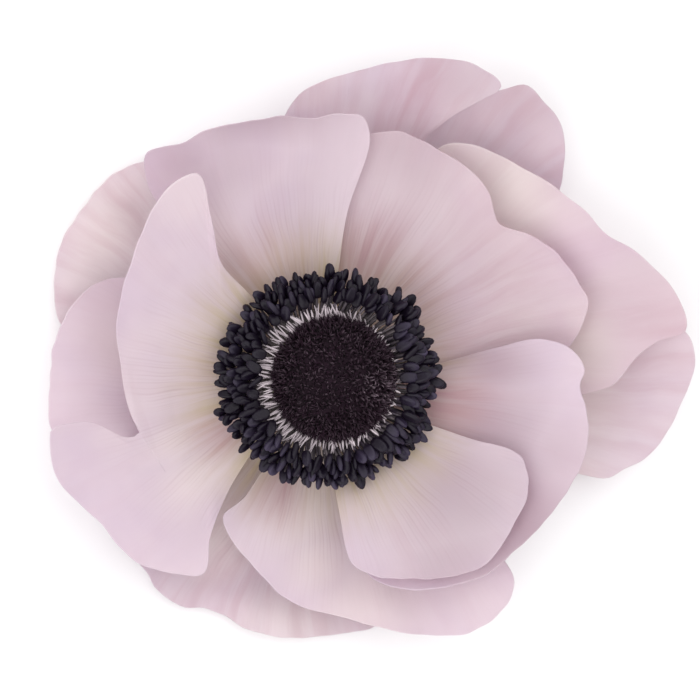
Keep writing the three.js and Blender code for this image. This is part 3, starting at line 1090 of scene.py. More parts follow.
        offset = points[:, :2] - on_plan(self.claw, self.fan_radius)
        fan = wrapped(np.degrees(np.arctan2(offset[:, 1], offset[:, 0])) - self.claw) / DEGREES_PER_FAN
        azimuth = np.degrees(np.arctan2(points[:, 1], points[:, 0]))
        radius = np.linalg.norm(points[:, :2], axis=1)
        layers = {"fan": fan, "reach": np.linalg.norm(offset, axis=1)}
        for patch_kind in PatchKind:
            masks = [Patch(*numbers).mask(azimuth, radius) for numbers in self.patches.get(patch_kind, ())]
            layers[patch_kind.value] = np.max([np.zeros(below), *masks], axis=0)
        for name, values in layers.items():
            store(made, name, np.tile(values, 2))
        made.data.materials.append(material)
        place_piece(made, self.slot, self.name)


ROSY, PAINTED_SHADE, CREAM_AND_PAINTED_LIGHT = PatchKind
# Painted shade patches darken places that face away from the light or lie in shade; the cream patches are
# partly each tepal's own cream and partly painted light on places in the shade of the layers above.
TEPALS = (
    Tepal(
        "tepal_left_inner", 4, 179, 1.2, 2, 0.3,
        ((136, 9), (131, 14), (132, 20), (126, 26), (123.5, 31), (132, 31.7), (143, 30.4),
         (156, 28.9), (166, 27.8), (174.5, 26.5), (185.5, 25.6), (192, 25.1), (196.5, 24.6),
         (197, 25.6), (195.8, 27), (192.8, 28.7), (190.3, 30.6), (189.6, 33.2), (190, 35.8),
         (192, 36.3), (200, 36.7), (212.5, 34.2), (223.5, 33.7), (232.5, 31.5), (238.5, 29.4),
         (234.8, 24.7), (230, 17), (222, 9)),
        {
            ROSY: ((209, 17, 14, 6.5, 0.85), (176, 22, 14, 7, 0.2)),
            CREAM_AND_PAINTED_LIGHT: ((164, 30, 21, 8, 0.4), (128, 16, 29, 12, 0.5), (184, 24, 23, 12, 0.5),
                     (203, 13, 21, 7, 0.9), (219, 17, 21, 9, 1.0)),
        },
        twists=(Twist(1.6, 150, 212),), spine=(212, 23.4), spine_shares=(0.38, 0.27), columns=224, folds=0.14,
    ),
    Tepal(
        "tepal_lower_right_inner", 4, 305, 1.2, 3, 0.3,
        ((278, 9), (277, 13), (277, 18), (277, 22.5), (278, 24), (283, 25.7), (290, 27.1),
         (299, 29), (312, 30.8), (325, 29.8), (331, 29.3), (337, 27.8), (339, 26), (338, 21),
         (337, 15), (333, 9)),
        {
            CREAM_AND_PAINTED_LIGHT: ((305, 40, 20, 16, 0.4),),
            PAINTED_SHADE: ((320, 34, 21, 12, 0.55), (300, 30, 29, 7, 0.4)),
            ROSY: ((298, 14, 22, 6, 0.15),),
        },
        twists=(Twist(3.5, 300, 338),), folds=0.14,
    ),
    Tepal(
        "tepal_top_left_inner", 3, 106, 1.0, 3, 0.4,
        ((79, 9), (80, 14), (81, 22), (79.5, 31), (82, 33.6), (87, 34), (94, 33.6),
         (100, 34.3), (109, 34.8), (117, 35.7), (122.6, 35.6), (129, 36.9), (132.3, 34.2),
         (134, 30), (135.5, 25), (136, 16), (134, 9)),
        {
            PAINTED_SHADE: ((104, 26, 36, 8, 0.65), (104, 22, 20, 16, 0.2), (112, 18, 30, 9, 0.3),
                    (124, 16, 35, 7, 0.4)),
            ROSY: ((106, 26, 14, 9, 0.35), (118, 24, 17, 9, 0.4)),
            CREAM_AND_PAINTED_LIGHT: ((127, 15, 22, 10, 1.0),),
        },
        twists=(Twist(2.6, 112, 80), Twist(1.7, 116, 134)), rolls=(Roll(106, 26, 0.8, 0.5, 0.66),),
    ),
    Tepal(
        "tepal_right_inner", 3, 330, 1.4, 4, 0.4,
        ((296, 9), (287, 15), (282, 22.7), (283, 26.1), (292, 29.2), (304, 31.3),
         (313, 32.4), (325, 33), (340, 34), (352, 33.5), (359, 32.5), (362, 33),
         (367, 31.5), (370.5, 28), (370, 23), (367, 16), (361, 9)),
        {
            ROSY: ((352, 19, 15, 12, 0.95), (342, 20, 16, 10, 0.9)),
            PAINTED_SHADE: ((343, 26, 22, 12, 0.7), (324, 26, 31, 11, 0.8), (341, 17, 32, 8, 0.4),
                    (364, 14, 22, 9, 0.8)),
        },
        rolls=(Roll(352, 34, -1.9, -0.4, 0.62),), folds=0.28,
    ),
    Tepal(
        "tepal_top_right_inner", 2, 48, 0.9, 4, 0.4,
        ((16, 9), (6, 16), (1, 25), (6, 31.5), (12, 34.6), (17, 35.9), (22, 35),
         (29, 34.2), (35, 32.8), (41, 30.7), (44, 31), (49, 32.2), (55, 32.8), (67, 33.2),
         (74, 33.2), (82, 31), (87, 26), (86, 16), (79, 9)),
        {
            ROSY: ((42, 36, 16, 12, 0.55), (14, 18, 20, 14, 0.5), (68, 28, 17, 10, 0.8),
                   (28, 30, 25, 14, 0.3)),
            PAINTED_SHADE: ((70, 20, 32, 8, 0.35),),
            CREAM_AND_PAINTED_LIGHT: ((24, 26, 28, 12, 0.3),),
        },
        TepalTone.MIDDLE, twists=(Twist(1.65, 60, 10),),
    ),
    Tepal(
        "tepal_bottom", 1.45, 272, 0.9, 3, 0.35,
        ((242, 9), (239, 14), (238, 18.5), (235, 21.7), (239, 23.1), (246, 24.8),
         (254, 27), (261, 28.8), (269, 30.1), (283, 32.9), (294, 36.5), (300, 37.8), (306, 37.7),
         (311, 37), (314, 35.4), (316, 29), (312, 17), (303, 9)),
        {
            ROSY: ((252, 18, 15.5, 7, 0.8),),
            CREAM_AND_PAINTED_LIGHT: ((262, 34, 17, 13, 1.0), (306, 18, 34, 8, 0.25), (280, 24, 30, 10, 0.9),
                     (270, 20, 24, 8, 1.0)),
        },
    ),
    Tepal(
        "tepal_left", 1, 188, 0.9, 3, 0.4,
        ((162, 9), (153, 16), (150, 24), (153.5, 29.3), (160, 32.7), (168, 34.5), (179, 34.9),
         (188, 35.8), (193, 35), (198, 32), (200, 28), (202, 22), (204, 15), (208, 9)),
        {CREAM_AND_PAINTED_LIGHT: ((172, 18, 26, 9, 0.6),)},
    ),
    Tepal(
        "tepal_top", 1, 86, 0.7, 3, 0.45,
        ((58, 9), (61, 16), (66, 26), (66.5, 33), (65, 36.3), (61, 41), (59, 43.6),
         (61, 44.4), (66, 44.5), (70, 43.8), (77, 41.9), (86, 39.5), (95, 36.5), (100, 32),
         (106, 20), (113, 9)),
        {PAINTED_SHADE: ((66, 14, 42, 8, 0.35),), ROSY: ((70, 12, 38, 10, 0.45),)},
        TepalTone.OUTER, "petal_outer", folds=0.4, spine=(73, 35),
    ),
    Tepal(
        "tepal_right", 1, 20, 0.9, 4, 0.5,
        ((351, 9), (349, 17), (352, 27), (357, 35.5), (359, 38.1), (364, 40.7),
         (366.5, 43.5), (367.5, 46.5), (372, 46.8), (376, 46), (383, 43.1), (387, 41), (394, 40),
         (405, 38.2), (418, 36), (423, 33.5), (423, 26), (417, 16), (409, 9)),
        {
            CREAM_AND_PAINTED_LIGHT: ((45, 26, 34, 12, 0.9), (66, 14, 36, 7, 1.0), (7, 17, 34, 7, 1.0)),
            PAINTED_SHADE: ((16, 18, 42, 9, 0.2),),
            ROSY: ((8, 13, 45, 9, 0.3),),
        },
        TepalTone.MIDDLE, "petal_outer",
    ),
    Tepal(
        "tepal_upper_left_outer", 0, 147, 0.6, 4, 0.4,
        ((110, 9), (106, 15), (112, 24), (120, 31.5), (123, 34.2), (129, 36.4),
         (135, 37.5), (144, 37.8), (151, 37.9), (156, 37.3), (162, 36), (168, 34.1), (175, 28),
         (183, 20), (186, 14), (182, 9)),
        {CREAM_AND_PAINTED_LIGHT: ((146, 28, 33, 10, 0.85),), ROSY: ((138, 14, 32, 8, 0.15),)},
        TepalTone.OUTER, "petal_outer", folds=0.42,
    ),
    Tepal(
        "tepal_upper_right_outer", 0, 55, 0.6, 3, 0.4,
        ((22, 9), (21, 15), (26, 24), (33, 33), (36, 38.4), (40, 41.9), (46, 45.5),
         (51, 46.5), (55, 46.7), (58, 44.3), (63, 41), (74, 34), (86, 24), (91, 15), (88, 9)),
        {ROSY: ((50, 16, 42, 9, 0.2),), PAINTED_SHADE: ((52, 12, 45, 6, 0.4),)},
        TepalTone.OUTER, "petal_outer", folds=0.38,
    ),
    Tepal(
        "tepal_right_outer", 0, 350, 0.6, 4, 0.5,
        ((317, 9), (312, 15), (317, 24), (332, 31.5), (339, 34.7), (341, 40.4),
         (344, 42.5), (347, 44.8), (355, 47.3), (363, 48.8), (367, 48.1), (370, 45.6), (375, 39),
         (378, 30), (377, 20), (375, 9)),
        {CREAM_AND_PAINTED_LIGHT: ((354, 18, 36, 8, 0.9), (341, 12, 36, 9, 0.5)), ROSY: ((362, 10, 45, 8, 0.2),)},
        TepalTone.OUTER, "petal_outer",
    ),
    Tepal(
        "tepal_bottom_left_outer", 0, 250, 0.5, 4, 0.4,
        ((214, 9), (204, 15), (206, 25), (211, 31.5), (216, 33.4), (229, 33.7),
         (232, 34.4), (239, 34.6), (244, 33.4), (250, 33.3), (254, 33.8), (266, 34.2),
         (278, 33.6), (285, 32.9), (292, 29), (300, 21), (300, 14), (290, 9)),
        {ROSY: ((246, 22, 28, 10, 0.25),), CREAM_AND_PAINTED_LIGHT: ((236, 26, 23, 9, 1.0), (264, 22, 32, 9, 0.7))},
        TepalTone.OUTER, "petal_outer",
    ),
)


@dataclass(frozen=True)
class Style:
    """One style: a tapering hair, a millimetre long before it is scaled, that hooks over at its tip."""

    heights: tuple[float, ...] = (-0.15, 0.45, 0.82, 1.0)
    girths: tuple[float, ...] = (0.14, 0.13, 0.09, 0.03)
    leans: tuple[float, ...] = (0.0, 0.03, 0.16, 0.34)
    sides: int = 4

    def build(self) -> Object:
        """Makes the style.

        Returns:
            The hair, along the piece's own +Z.
        """
        points = []
        for height, girth, lean in zip(self.heights, self.girths, self.leans):
            ring = on_plan(360 * np.arange(self.sides) / self.sides, girth)
            points += [((x + lean) * MM, y * MM, height * MM) for x, y in ring]
        rings = np.arange(len(points)).reshape(-1, self.sides).tolist()
        faces = ring_faces(rings) + [tuple(reversed(rings[0])), tuple(rings[-1])]
        made = mesh_object("style", np.array(points), faces)
        store(made, "along", np.clip(np.repeat(self.heights, self.sides), 0, 1))
        return made


@dataclass(frozen=True)
class CarpelHead:
    """The dark dome of crowded pistils: a domed core under a fur of short hooked styles."""

    offset: float = 1.15
    radius: float = 7.6
    foot: float = 9.7
    foot_corner: tuple[Span, Span] = ((1.9, 0.0), (0.7, 0.4))
    rim: float = 10.6
    top: float = 13.8
    rings: int = 13
    sides: int = 72
    fur_depth: float = 1.0
    fur_foot: float = 0.35
    fur_cover: float = 1.06
    fur_jitter: float = 9
    fur_sink: float = 0.1
    styles: int = 2600
    style: Style = Style()
    length: float = 1.25
    lengths: Span = (0.7, 1.1)
    growth: Span = (0.72, 0.28)
    girths: Span = (0.8, 1.25)
    lean: Span = (0.1, 0.6)
    scatter: float = 0.26
    tones: Span = (0.05, 0.14)
    lightest: float = 0.7
    pale_place: Span = (6.2, -0.6)
    pale_spread: float = 4.0
    pale_share: float = 0.4
    seed: int = 21

    def surface(self, azimuth: Array, fall: Array) -> tuple[Array, Array]:
        """Points and outward directions of the dome under the fur.

        Args:
            azimuth: Degrees about the head's axis.
            fall: Angle down from the top, in radians.

        Returns:
            Points about the bloom's axis in millimetres, and unit directions.
        """
        rise = self.top - self.fur_depth - self.rim
        reach = self.radius - self.fur_foot
        points = raised(on_plan(azimuth, reach * np.sin(fall)), self.rim + rise * np.cos(fall))
        points[..., 0] += self.offset
        normals = raised(on_plan(azimuth, np.sin(fall) / reach), np.cos(fall) / rise)
        return points, normals / np.linalg.norm(normals, axis=-1, keepdims=True)

    def core(self) -> Object:
        """Makes the domed core.

        Returns:
            The core, with its rounded underside.
        """
        profile = [(0.0, self.foot)]
        profile += [(self.radius - inset, self.foot + lift) for inset, lift in self.foot_corner]
        for step in range(self.rings, -1, -1):
            point, _ = self.surface(np.array(0.0), np.array(step / self.rings * math.pi / 2))
            profile.append((float(point[0]) - self.offset, float(point[2])))
        return turned("carpel_core", profile, self.sides, self.offset)

    def fur(self, copies: Scatter, material: Material) -> Object:
        """Covers the dome with styles in a sunflower spiral, leaning out more towards the rim.

        Args:
            copies: The scattering tree.
            material: The styles' finish.

        Returns:
            The styles, joined.
        """
        draw, count = np.random.default_rng(self.seed), self.styles
        share = (np.arange(count) + 0.5) / count
        fall = np.arccos(1 - share * self.fur_cover)
        jitter = draw.uniform(-self.fur_jitter, self.fur_jitter, count)
        azimuth = np.arange(count) * GOLDEN_TURN + jitter
        points, normals = self.surface(azimuth, fall)
        outward = raised(on_plan(azimuth, 1.0), 0.0) * (self.lean[0] + self.lean[1] * share[:, None])
        aims = normals + outward + draw.normal(0, self.scatter, (count, 3))
        growth = self.growth[0] + self.growth[1] * share
        length = self.length * draw.uniform(*self.lengths, count) * growth
        sizes = np.stack([draw.uniform(*self.girths, count)] * 2 + [length], axis=1)
        tones = np.clip(draw.normal(*self.tones, count), 0, self.lightest)
        pale = np.exp(-((points[:, :2] - self.pale_place) ** 2).sum(axis=1) / self.pale_spread)
        tones = np.clip(tones + pale * (draw.random(count) < self.pale_share), 0, 1)
        spins = draw.uniform(0, 2 * math.pi, count)
        roots = points - normals * self.fur_sink
        return copies.place("carpel_styles", self.style.build(), material, roots, aims, spins, sizes, tones)


@dataclass(frozen=True)
class PaleFringe:
    """The pale hairs that stand out from under the carpel head's rim, dark at their roots."""

    hairs: int = 230
    sides: int = 5
    girths: tuple[float, ...] = (0.15, 0.16, 0.16, 0.155, 0.14, 0.07)
    thickness: Span = (0.6, 1.05)
    root: float = 0.7
    spacing: float = 0.4
    faces: float = 190
    openness: Span = (0.62, 0.38)
    lengths: Span = (0.5, 1.3)
    growth: Span = (1.2, 1.0)
    drop: float = 0.5
    drops: Span = (-0.35, 0.3)
    lifts: Span = (0.1, 0.7)
    arch: float = 0.6
    sway: float = 5.0
    centring: float = 0.45
    tone: Span = (0.9, 0.8)
    tones: Span = (0.03, 0.3)
    seed: int = 33

    def build(self, head: CarpelHead, threads: Strands, material: Material) -> Object:
        """Makes the fringe.

        Args:
            head: The carpel head that it grows from.
            threads: The tree for round strands.
            material: The hairs' finish.

        Returns:
            The hairs, joined.
        """
        draw, count = np.random.default_rng(self.seed), self.hairs
        azimuth = (np.arange(count) + draw.uniform(-self.spacing, self.spacing, count)) * 360 / count
        open_side = self.openness[0] + self.openness[1] * np.cos(np.radians(azimuth - self.faces))
        length = draw.uniform(*self.lengths, count) * (self.growth[0] + self.growth[1] * open_side)
        steps = np.linspace(0, 1, len(self.girths))
        radius = head.radius - self.root + (length[:, None] + self.root) * steps
        lift = draw.uniform(*self.lifts, (count, 1)) * np.sin(steps * math.pi * self.arch)
        height = head.rim - self.drop + lift + draw.uniform(*self.drops, (count, 1))
        turn = azimuth[:, None] + draw.normal(0, self.sway, (count, 1)) * steps
        paths = raised(on_plan(turn, radius), height)
        paths[..., 0] += head.offset * (1 - self.centring * steps)
        girths = np.tile(self.girths, (count, 1)) * draw.uniform(*self.thickness, (count, 1))
        tones = self.tone[0] * open_side ** self.tone[1] + draw.normal(*self.tones, count)
        return threads.place("pale_fringe", material, paths, girths, np.clip(tones, 0, 1), self.sides)


@dataclass(frozen=True)
class Anther:
    """One anther: two plump lobes side by side with a groove between."""

    length: float = 3.1
    width: float = 1.75
    flatness: float = 0.88
    bluntness: float = 2.6
    taper: Span = (1.02, 0.12)
    groove: float = 0.6
    groove_sharpness: int = 7
    groove_fades: float = 1.3
    sides: int = 12
    steps: int = 6

    def build(self) -> Object:
        """Makes the anther.

        Returns:
            The anther, along the piece's own +Z.
        """
        points = []
        for step in range(self.steps + 1):
            place = -math.cos(math.pi * step / self.steps)
            taper = self.taper[0] - self.taper[1] * place
            swell = max(1 - abs(place) ** self.bluntness, 0.0) ** 0.5 * taper
            depth = self.groove * min(1.0, swell * self.groove_fades)
            for side in range(self.sides):
                turn = 2 * math.pi * side / self.sides
                lobe = 1 - depth * abs(math.sin(turn)) ** self.groove_sharpness
                across, through = math.cos(turn), math.sin(turn) * lobe * self.flatness
                girth = swell * self.width
                points.append((girth * across, girth * through, place * self.length))
        rings = np.arange(len(points)).reshape(-1, self.sides).tolist()
        made = mesh_object("anther", np.array(points) * MM / 2, ring_faces(rings))
        store(made, "along", np.repeat(np.arange(self.steps + 1) / self.steps, self.sides))
        return made


@dataclass(frozen=True)
class AntherRow:
    """One row of the ring of stamens, as in the solid model."""

    count: int
    radius: float
    height: float
    pitch: float


@dataclass(frozen=True)
class SolidRule:
    """How the solid model scatters its stamens, each number the most that a place may be off."""

    seed: int = 11
    spacing: float = 0.25
    radius: float = 0.4
    height: float = 0.35
    pitch: float = 9
    sway: float = 14
    length: float = 0.12


@dataclass(frozen=True)
class ExtraStamens:
    """The smaller stamens that stand in between the solid's, in a lumpy ring."""

    count: int = 200
    spacing: float = 1.6
    inner: float = 9.9
    inner_swell: float = 0.6
    inner_reach: float = 0.9
    inner_faces: float = 185
    outer: float = 13.7
    bulge: tuple[float, float, float] = (0.7, 48, 22)
    height: float = 12.0
    slope: float = 0.72
    drops: float = 0.3
    tilts: Span = (0, 40)
    sway: float = 26
    scales: Span = (0.55, 0.88)

    def places(self, draw: np.random.Generator, shift: float) -> tuple[Array, Array, Array, Array]:
        """Works out where they stand.

        Args:
            draw: The seeded generator that places them.
            shift: How far the ring's axis stands to +X of the bloom's.

        Returns:
            Anther centres, their directions, their length scales and the stamens' azimuths.
        """
        count = self.count
        turn = np.arange(count) * 360 / count + draw.uniform(-self.spacing, self.spacing, count)
        left_side = 0.5 + 0.5 * np.cos(np.radians(turn - self.inner_faces))
        inner = self.inner + self.inner_swell * np.abs(np.sin(np.radians(turn)))
        inner = inner - self.inner_reach * left_side**2
        size, azimuth, spread = self.bulge
        outer = self.outer + size * np.exp(-((wrapped(turn - azimuth) / spread) ** 2))
        radius = inner + (outer - inner) * ((np.arange(count) * GOLDEN_SHARE) % 1.0)
        height = self.height - (radius - self.inner) * self.slope
        centres = raised(on_plan(turn, radius), height + draw.uniform(-self.drops, self.drops, count))
        centres[:, 0] += shift * (1 + np.cos(np.radians(turn)))
        tilt = np.radians(draw.uniform(*self.tilts, count))
        away = on_plan(turn + draw.uniform(-self.sway, self.sway, count), 1.0) * np.cos(tilt)[:, None]
        return centres, raised(away, np.sin(tilt)), draw.uniform(*self.scales, count), turn


@dataclass(frozen=True)
class Stamens:
    """The ring of stamens: a pale shelf, thin filaments, and dark two-lobed anthers."""

    ring: tuple[float, float, float, float] = (3.85, 7.0, 7.45, 8.65)
    ring_inset: float = 0.8
    ring_corner: float = 0.5
    ring_corner_steps: int = 9
    ring_sides: int = 72
    anther: Anther = Anther()
    slimness: float = 0.82
    shift: float = 0.42
    rows: tuple[AntherRow, ...] = (
        AntherRow(42, 13.1, 9.6, 4), AntherRow(35, 12.0, 10.6, 14), AntherRow(28, 11.1, 11.6, 26),
    )
    rule: SolidRule = SolidRule()
    solid_share: float = 0.86
    extra: ExtraStamens = ExtraStamens()
    lumps: tuple[tuple[float, int, float], ...] = ((0.030, 9, 1.0), (0.020, 16, 2.2))
    lumpy: Span = (10.5, 13.0)
    seed: int = 5
    leaning: float = 0.16
    plumpness: Span = (0.8, 1.1)
    roundness: Span = (0.9, 1.1)
    spins: float = 0.6
    tones: Span = (0.0, 0.26)
    lit_side: Span = (0.14, 0.9)
    root: float = 1.0
    bend: Span = (1.6, 0.1)
    joint: float = 0.12
    girths: Span = (0.24, 0.15)
    thread_steps: int = 8
    thread_sides: int = 7
    thread_tones: Span = (0.3, 0.25)
    thread_seed: int = 8

    def solid_places(self) -> tuple[Array, Array, Array, Array]:
        """Works out where the solid's stamens stand, by the solid model's own seeded rule.

        Returns:
            Anther centres, their directions, their length scales and the stamens' azimuths.
        """
        draw, rule = SeededDraw(self.rule.seed), self.rule
        centres, aims, scales, azimuths = [], [], [], []
        for row in self.rows:
            for place in range(row.count):
                azimuth = 360 * (place + draw.vary(rule.spacing)) / row.count + row.pitch
                radius, height = row.radius + draw.vary(rule.radius), row.height + draw.vary(rule.height)
                x, y = on_plan(azimuth, radius)
                centres.append((x + self.shift * (1 + math.cos(math.radians(azimuth))), y, height))
                pitch = math.radians(row.pitch + draw.vary(rule.pitch))
                aims.append((*on_plan(azimuth + draw.vary(rule.sway), math.cos(pitch)), math.sin(pitch)))
                scales.append(1 + draw.vary(rule.length))
                azimuths.append(azimuth)
        return np.array(centres), np.array(aims), np.array(scales) * self.solid_share, np.array(azimuths)

    def places(self, draw: np.random.Generator) -> tuple[Array, Array, Array, Array]:
        """Brings the solid's stamens and the smaller ones together, in a lumpy ring.

        Args:
            draw: The seeded generator that places the smaller ones.

        Returns:
            Anther centres, their directions, their length scales and the stamens' azimuths.
        """
        both = zip(self.solid_places(), self.extra.places(draw, self.shift))
        centres, aims, scales, azimuths = (np.concatenate(pair) for pair in both)
        facing = np.arctan2(centres[:, 1], centres[:, 0])
        lumps = sum(height * np.sin(turns * facing + phase) for height, turns, phase in self.lumps)
        outer_share = smoothstep(np.linalg.norm(centres[:, :2], axis=1), *self.lumpy)
        centres[:, :2] *= 1 + (lumps * outer_share)[:, None]
        return centres, aims, scales, azimuths

    def anthers(self, copies: Scatter, material: Material) -> Object:
        """Sets an anther at each of the stamens' places.

        Args:
            copies: The scattering tree.
            material: The anthers' finish.

        Returns:
            The anthers, joined.
        """
        draw = np.random.default_rng(self.seed)
        centres, aims, scales, _ = self.places(draw)
        count = len(centres)
        aims = aims + draw.normal(0, self.leaning, (count, 3))
        plump = self.slimness * draw.uniform(*self.plumpness, count)
        sizes = np.stack([plump, plump * draw.uniform(*self.roundness, count), scales], axis=1)
        spins = math.pi / 2 + draw.normal(0, self.spins, count)
        # Painted light: anthers towards the lower right are painted lighter, towards the skin's highlight
        # colour, as a painted highlight.
        light, facing = self.lit_side[0], np.arctan2(centres[:, 1], centres[:, 0]) + self.lit_side[1]
        tones = np.clip(draw.normal(*self.tones, count) + light * np.cos(facing), 0, 1)
        return copies.place("anthers", self.anther.build(), material, centres, aims, spins, sizes, tones)

    def filaments(self, threads: Strands, material: Material) -> Object:
        """Makes the thin stalks that carry the anthers, out of the shelf under the head.

        Args:
            threads: The tree for round strands.
            material: The stalks' finish.

        Returns:
            The stalks, joined.
        """
        centres, aims, _, azimuths = self.places(np.random.default_rng(self.seed))
        _, outer, foot, top = self.ring
        out, up = self.bend
        roots = raised(on_plan(azimuths, outer - self.root), (foot + top) / 2)[:, None]
        bends = raised(on_plan(azimuths, outer + out), top + up)[:, None]
        joints = (centres - aims * self.anther.length * self.joint)[:, None]
        steps = np.linspace(0, 1, self.thread_steps)[None, :, None]
        paths = (1 - steps) ** 2 * roots + 2 * steps * (1 - steps) * bends + steps**2 * joints
        girths = np.tile(np.linspace(*self.girths, self.thread_steps), (len(azimuths), 1))
        tones = np.random.default_rng(self.thread_seed).normal(*self.thread_tones, len(azimuths))
        return threads.place("filaments", material, paths, girths, np.clip(tones, 0, 1), self.thread_sides)

    def shelf(self) -> Object:
        """Makes the shelf.

        Returns:
            The low ring that the filaments grow from, with a rounded edge.
        """
        inner, outer, foot, top = self.ring
        inner, outer, middle = inner - self.ring_inset, outer - self.ring_corner, (foot + top) / 2
        profile = [(0.0, foot), (inner, foot), (outer, foot)]
        for turn in np.linspace(-math.pi / 2, math.pi / 2, self.ring_corner_steps):
            height = middle + (top - foot) / 2 * math.sin(turn)
            profile.append((outer + self.ring_corner * math.cos(turn), height))
        return turned("stamen_shelf", [*profile, (inner, top), (0.0, top)], self.ring_sides)


@dataclass(frozen=True)
class Receptacle:
    """The green stem top that everything grows from, with its short cut stub."""

    stem: float = 1.9
    foot: float = 0.5
    cut: tuple[Span, ...] = ((0.0, 0.12), (0.55, 0.1), (0.86, 0.0), (1.0, 0.12))
    flare_foot: float = 0.35
    flare_top: float = 2.3
    flare_steps: int = 10
    column: float = 4.35
    column_top: float = 7.0
    shoulder: tuple[Span, Span] = ((0.0, -0.5), (0.4, 0.0))
    neck: float = 3.5
    neck_rise: float = 0.1
    neck_top: float = 9.75
    ribs: int = 14
    rib_depth: float = 0.012
    ribbed: Span = (1.0, 1.8)
    sides: int = 96

    def build(self) -> Object:
        """Makes the receptacle.

        Returns:
            The stub, the flare and the column as one turned, faintly ribbed piece.
        """
        profile = [(self.stem * share, self.foot + lift) for share, lift in self.cut]
        low = self.foot + self.flare_foot
        for step in range(self.flare_steps + 1):
            share = step / self.flare_steps
            flare = 0.5 - 0.5 * math.cos(math.pi * share)
            width = self.stem + (self.column - self.stem) * flare
            profile.append((width, low + (self.flare_top - low) * share))
        profile += [(self.column - inset, self.column_top + lift) for inset, lift in self.shoulder]
        profile.append((self.neck, self.column_top + self.neck_rise))
        profile += [(self.neck, self.neck_top), (0.0, self.neck_top)]
        made = turned("receptacle_flesh", profile, self.sides)
        points = np.zeros(len(made.data.vertices) * 3)
        made.data.vertices.foreach_get("co", points)
        points = points.reshape(-1, 3) / MM - BLOOM_AXIS
        azimuth = np.arctan2(points[:, 1], points[:, 0])
        radius = np.linalg.norm(points[:, :2], axis=1)
        rib = 1 + self.rib_depth * np.sin(self.ribs * azimuth) * smoothstep(radius, *self.ribbed)
        points[:, :2] *= rib[:, None]
        made.data.vertices.foreach_set("co", in_row_frame(points).ravel())
        made.data.update()
        return made


@dataclass(frozen=True)
class Camera:
    """The photograph's view: nearly straight down, leaned a little towards the bloom's left."""

    tilt: float = 8.0
    distance: float = 450.0
    pixel: float = 0.128
    pixels: int = 700
    axis_pixel: Span = (327.0, 379.0)
    axis_height: float = 12.5
    sensor: float = 36.0
    clip_start: float = 0.01

    def build(self) -> None:
        """Places the camera and makes it the scene's."""
        lean = math.radians(self.tilt)
        back = Vector((-math.sin(lean), 0.0, math.cos(lean)))
        right = Vector((math.cos(lean), 0.0, math.sin(lean)))
        up = Vector((0.0, 1.0, 0.0))
        x, y = self.axis_pixel
        half = self.pixels / 2
        target = Vector(BLOOM_AXIS) + Vector((0, 0, self.axis_height))
        target += right * (half - x) * self.pixel + up * (y - half) * self.pixel
        data = bpy.data.cameras.new("camera")
        data.sensor_width = self.sensor
        data.lens = self.sensor * self.distance / (self.pixels * self.pixel)
        data.clip_start = self.clip_start
        made = add_object("camera", data)
        made.location = (target + back * self.distance) * MM
        made.rotation_euler = Matrix((right, up, back)).transposed().to_euler()
        bpy.context.scene.camera = made


@dataclass(frozen=True)
class Lamp:
    """One soft square lamp aimed at the bloom: its place and width in metres, its power in watts."""

    name: str
    place: tuple[float, float, float]
    width: float
    power: float

    def build(self) -> None:
        """Puts the lamp in the scene."""
        data = bpy.data.lights.new(self.name, "AREA")
        data.size = self.width
        data.energy = self.power
        made = add_object(self.name, data)
        made.location = self.place
        made.rotation_euler = Vector(self.place).to_track_quat("Z", "Y").to_euler()


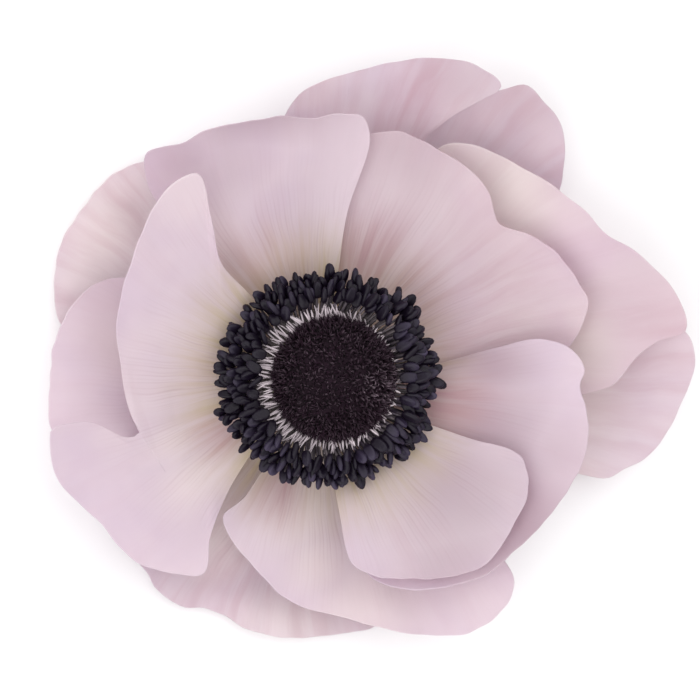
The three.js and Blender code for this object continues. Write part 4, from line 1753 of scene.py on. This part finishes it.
@dataclass(frozen=True)
class Studio:
    """A pale floor and plain soft light from above."""

    floor_width: float = 3.0
    floor_shade: float = 0.92
    room_colour: Colour = (1.0, 0.99, 1.0, 1)
    room_light: float = 0.745
    lamps: tuple[Lamp, ...] = (
        Lamp("key_light", (0.22, 0.46, 0.78), 1.4, 6.1),
        Lamp("fill_light", (-0.46, -0.42, 0.62), 1.0, 4.2),
    )

    def build(self) -> None:
        """Makes the floor, the lamps and the even light of the room."""
        corners = np.array([(-1, -1, 0), (1, -1, 0), (1, 1, 0), (-1, 1, 0)]) * self.floor_width / 2
        floor = mesh_object("floor", corners, [(0, 1, 2, 3)])
        material, shader, surface = new_material("floor_paint")
        shade = (self.floor_shade,) * 3 + (1,)
        paint = {"Base Color": shade, "Roughness": 0.9, "Specular IOR Level": 0.1}
        shader.plug(shader.node("ShaderNodeBsdfPrincipled", paint).outputs[0], surface)
        floor.data.materials.append(material)
        for lamp in self.lamps:
            lamp.build()
        world = bpy.data.worlds.new("room")
        world.use_nodes = True
        air = world.node_tree.nodes["Background"]
        air.inputs[0].default_value = self.room_colour
        air.inputs[1].default_value = self.room_light
        bpy.context.scene.world = world
        bpy.context.scene.view_settings.view_transform = "Standard"


def build_middle(effects: EffectGroups) -> None:
    """Builds the carpel head, the stamens and the receptacle.

    Args:
        effects: The shared shader effects.
    """
    copies, threads = Scatter(), Strands()
    fur, flesh = CARPEL_FUR.build(effects), GREEN_FLESH.build(effects)

    head = CarpelHead()
    core = head.core()
    core.data.materials.append(fur)
    place_piece(core, "carpel", "carpel_head")
    place_piece(head.fur(copies, fur), "carpel")
    place_piece(PaleFringe().build(head, threads, FRINGE_SKIN.build(effects)), "stamen")

    ring = Stamens()
    shelf = ring.shelf()
    shelf.data.materials.append(flesh)
    place_piece(shelf, "stamen")
    place_piece(ring.filaments(threads, FILAMENT_SKIN.build(effects)), "stamen")
    place_piece(ring.anthers(copies, ANTHER_SKIN.build(effects)), "stamen", "stamens")

    green = Receptacle().build()
    green.data.materials.append(flesh)
    place_piece(green, "stem", "receptacle")


def main() -> None:
    """Builds the bloom and its studio, in order."""
    logging.basicConfig(level=logging.INFO, format="%(name)s %(message)s")
    Camera().build()
    Studio().build()
    effects = EffectGroups()
    finishes = {tone: finish.build(effects) for tone, finish in TEPAL_FINISHES.items()}
    for tepal in TEPALS:
        tepal.build(finishes[tepal.tone])
    build_middle(effects)


if __name__ == "__main__":
    main()
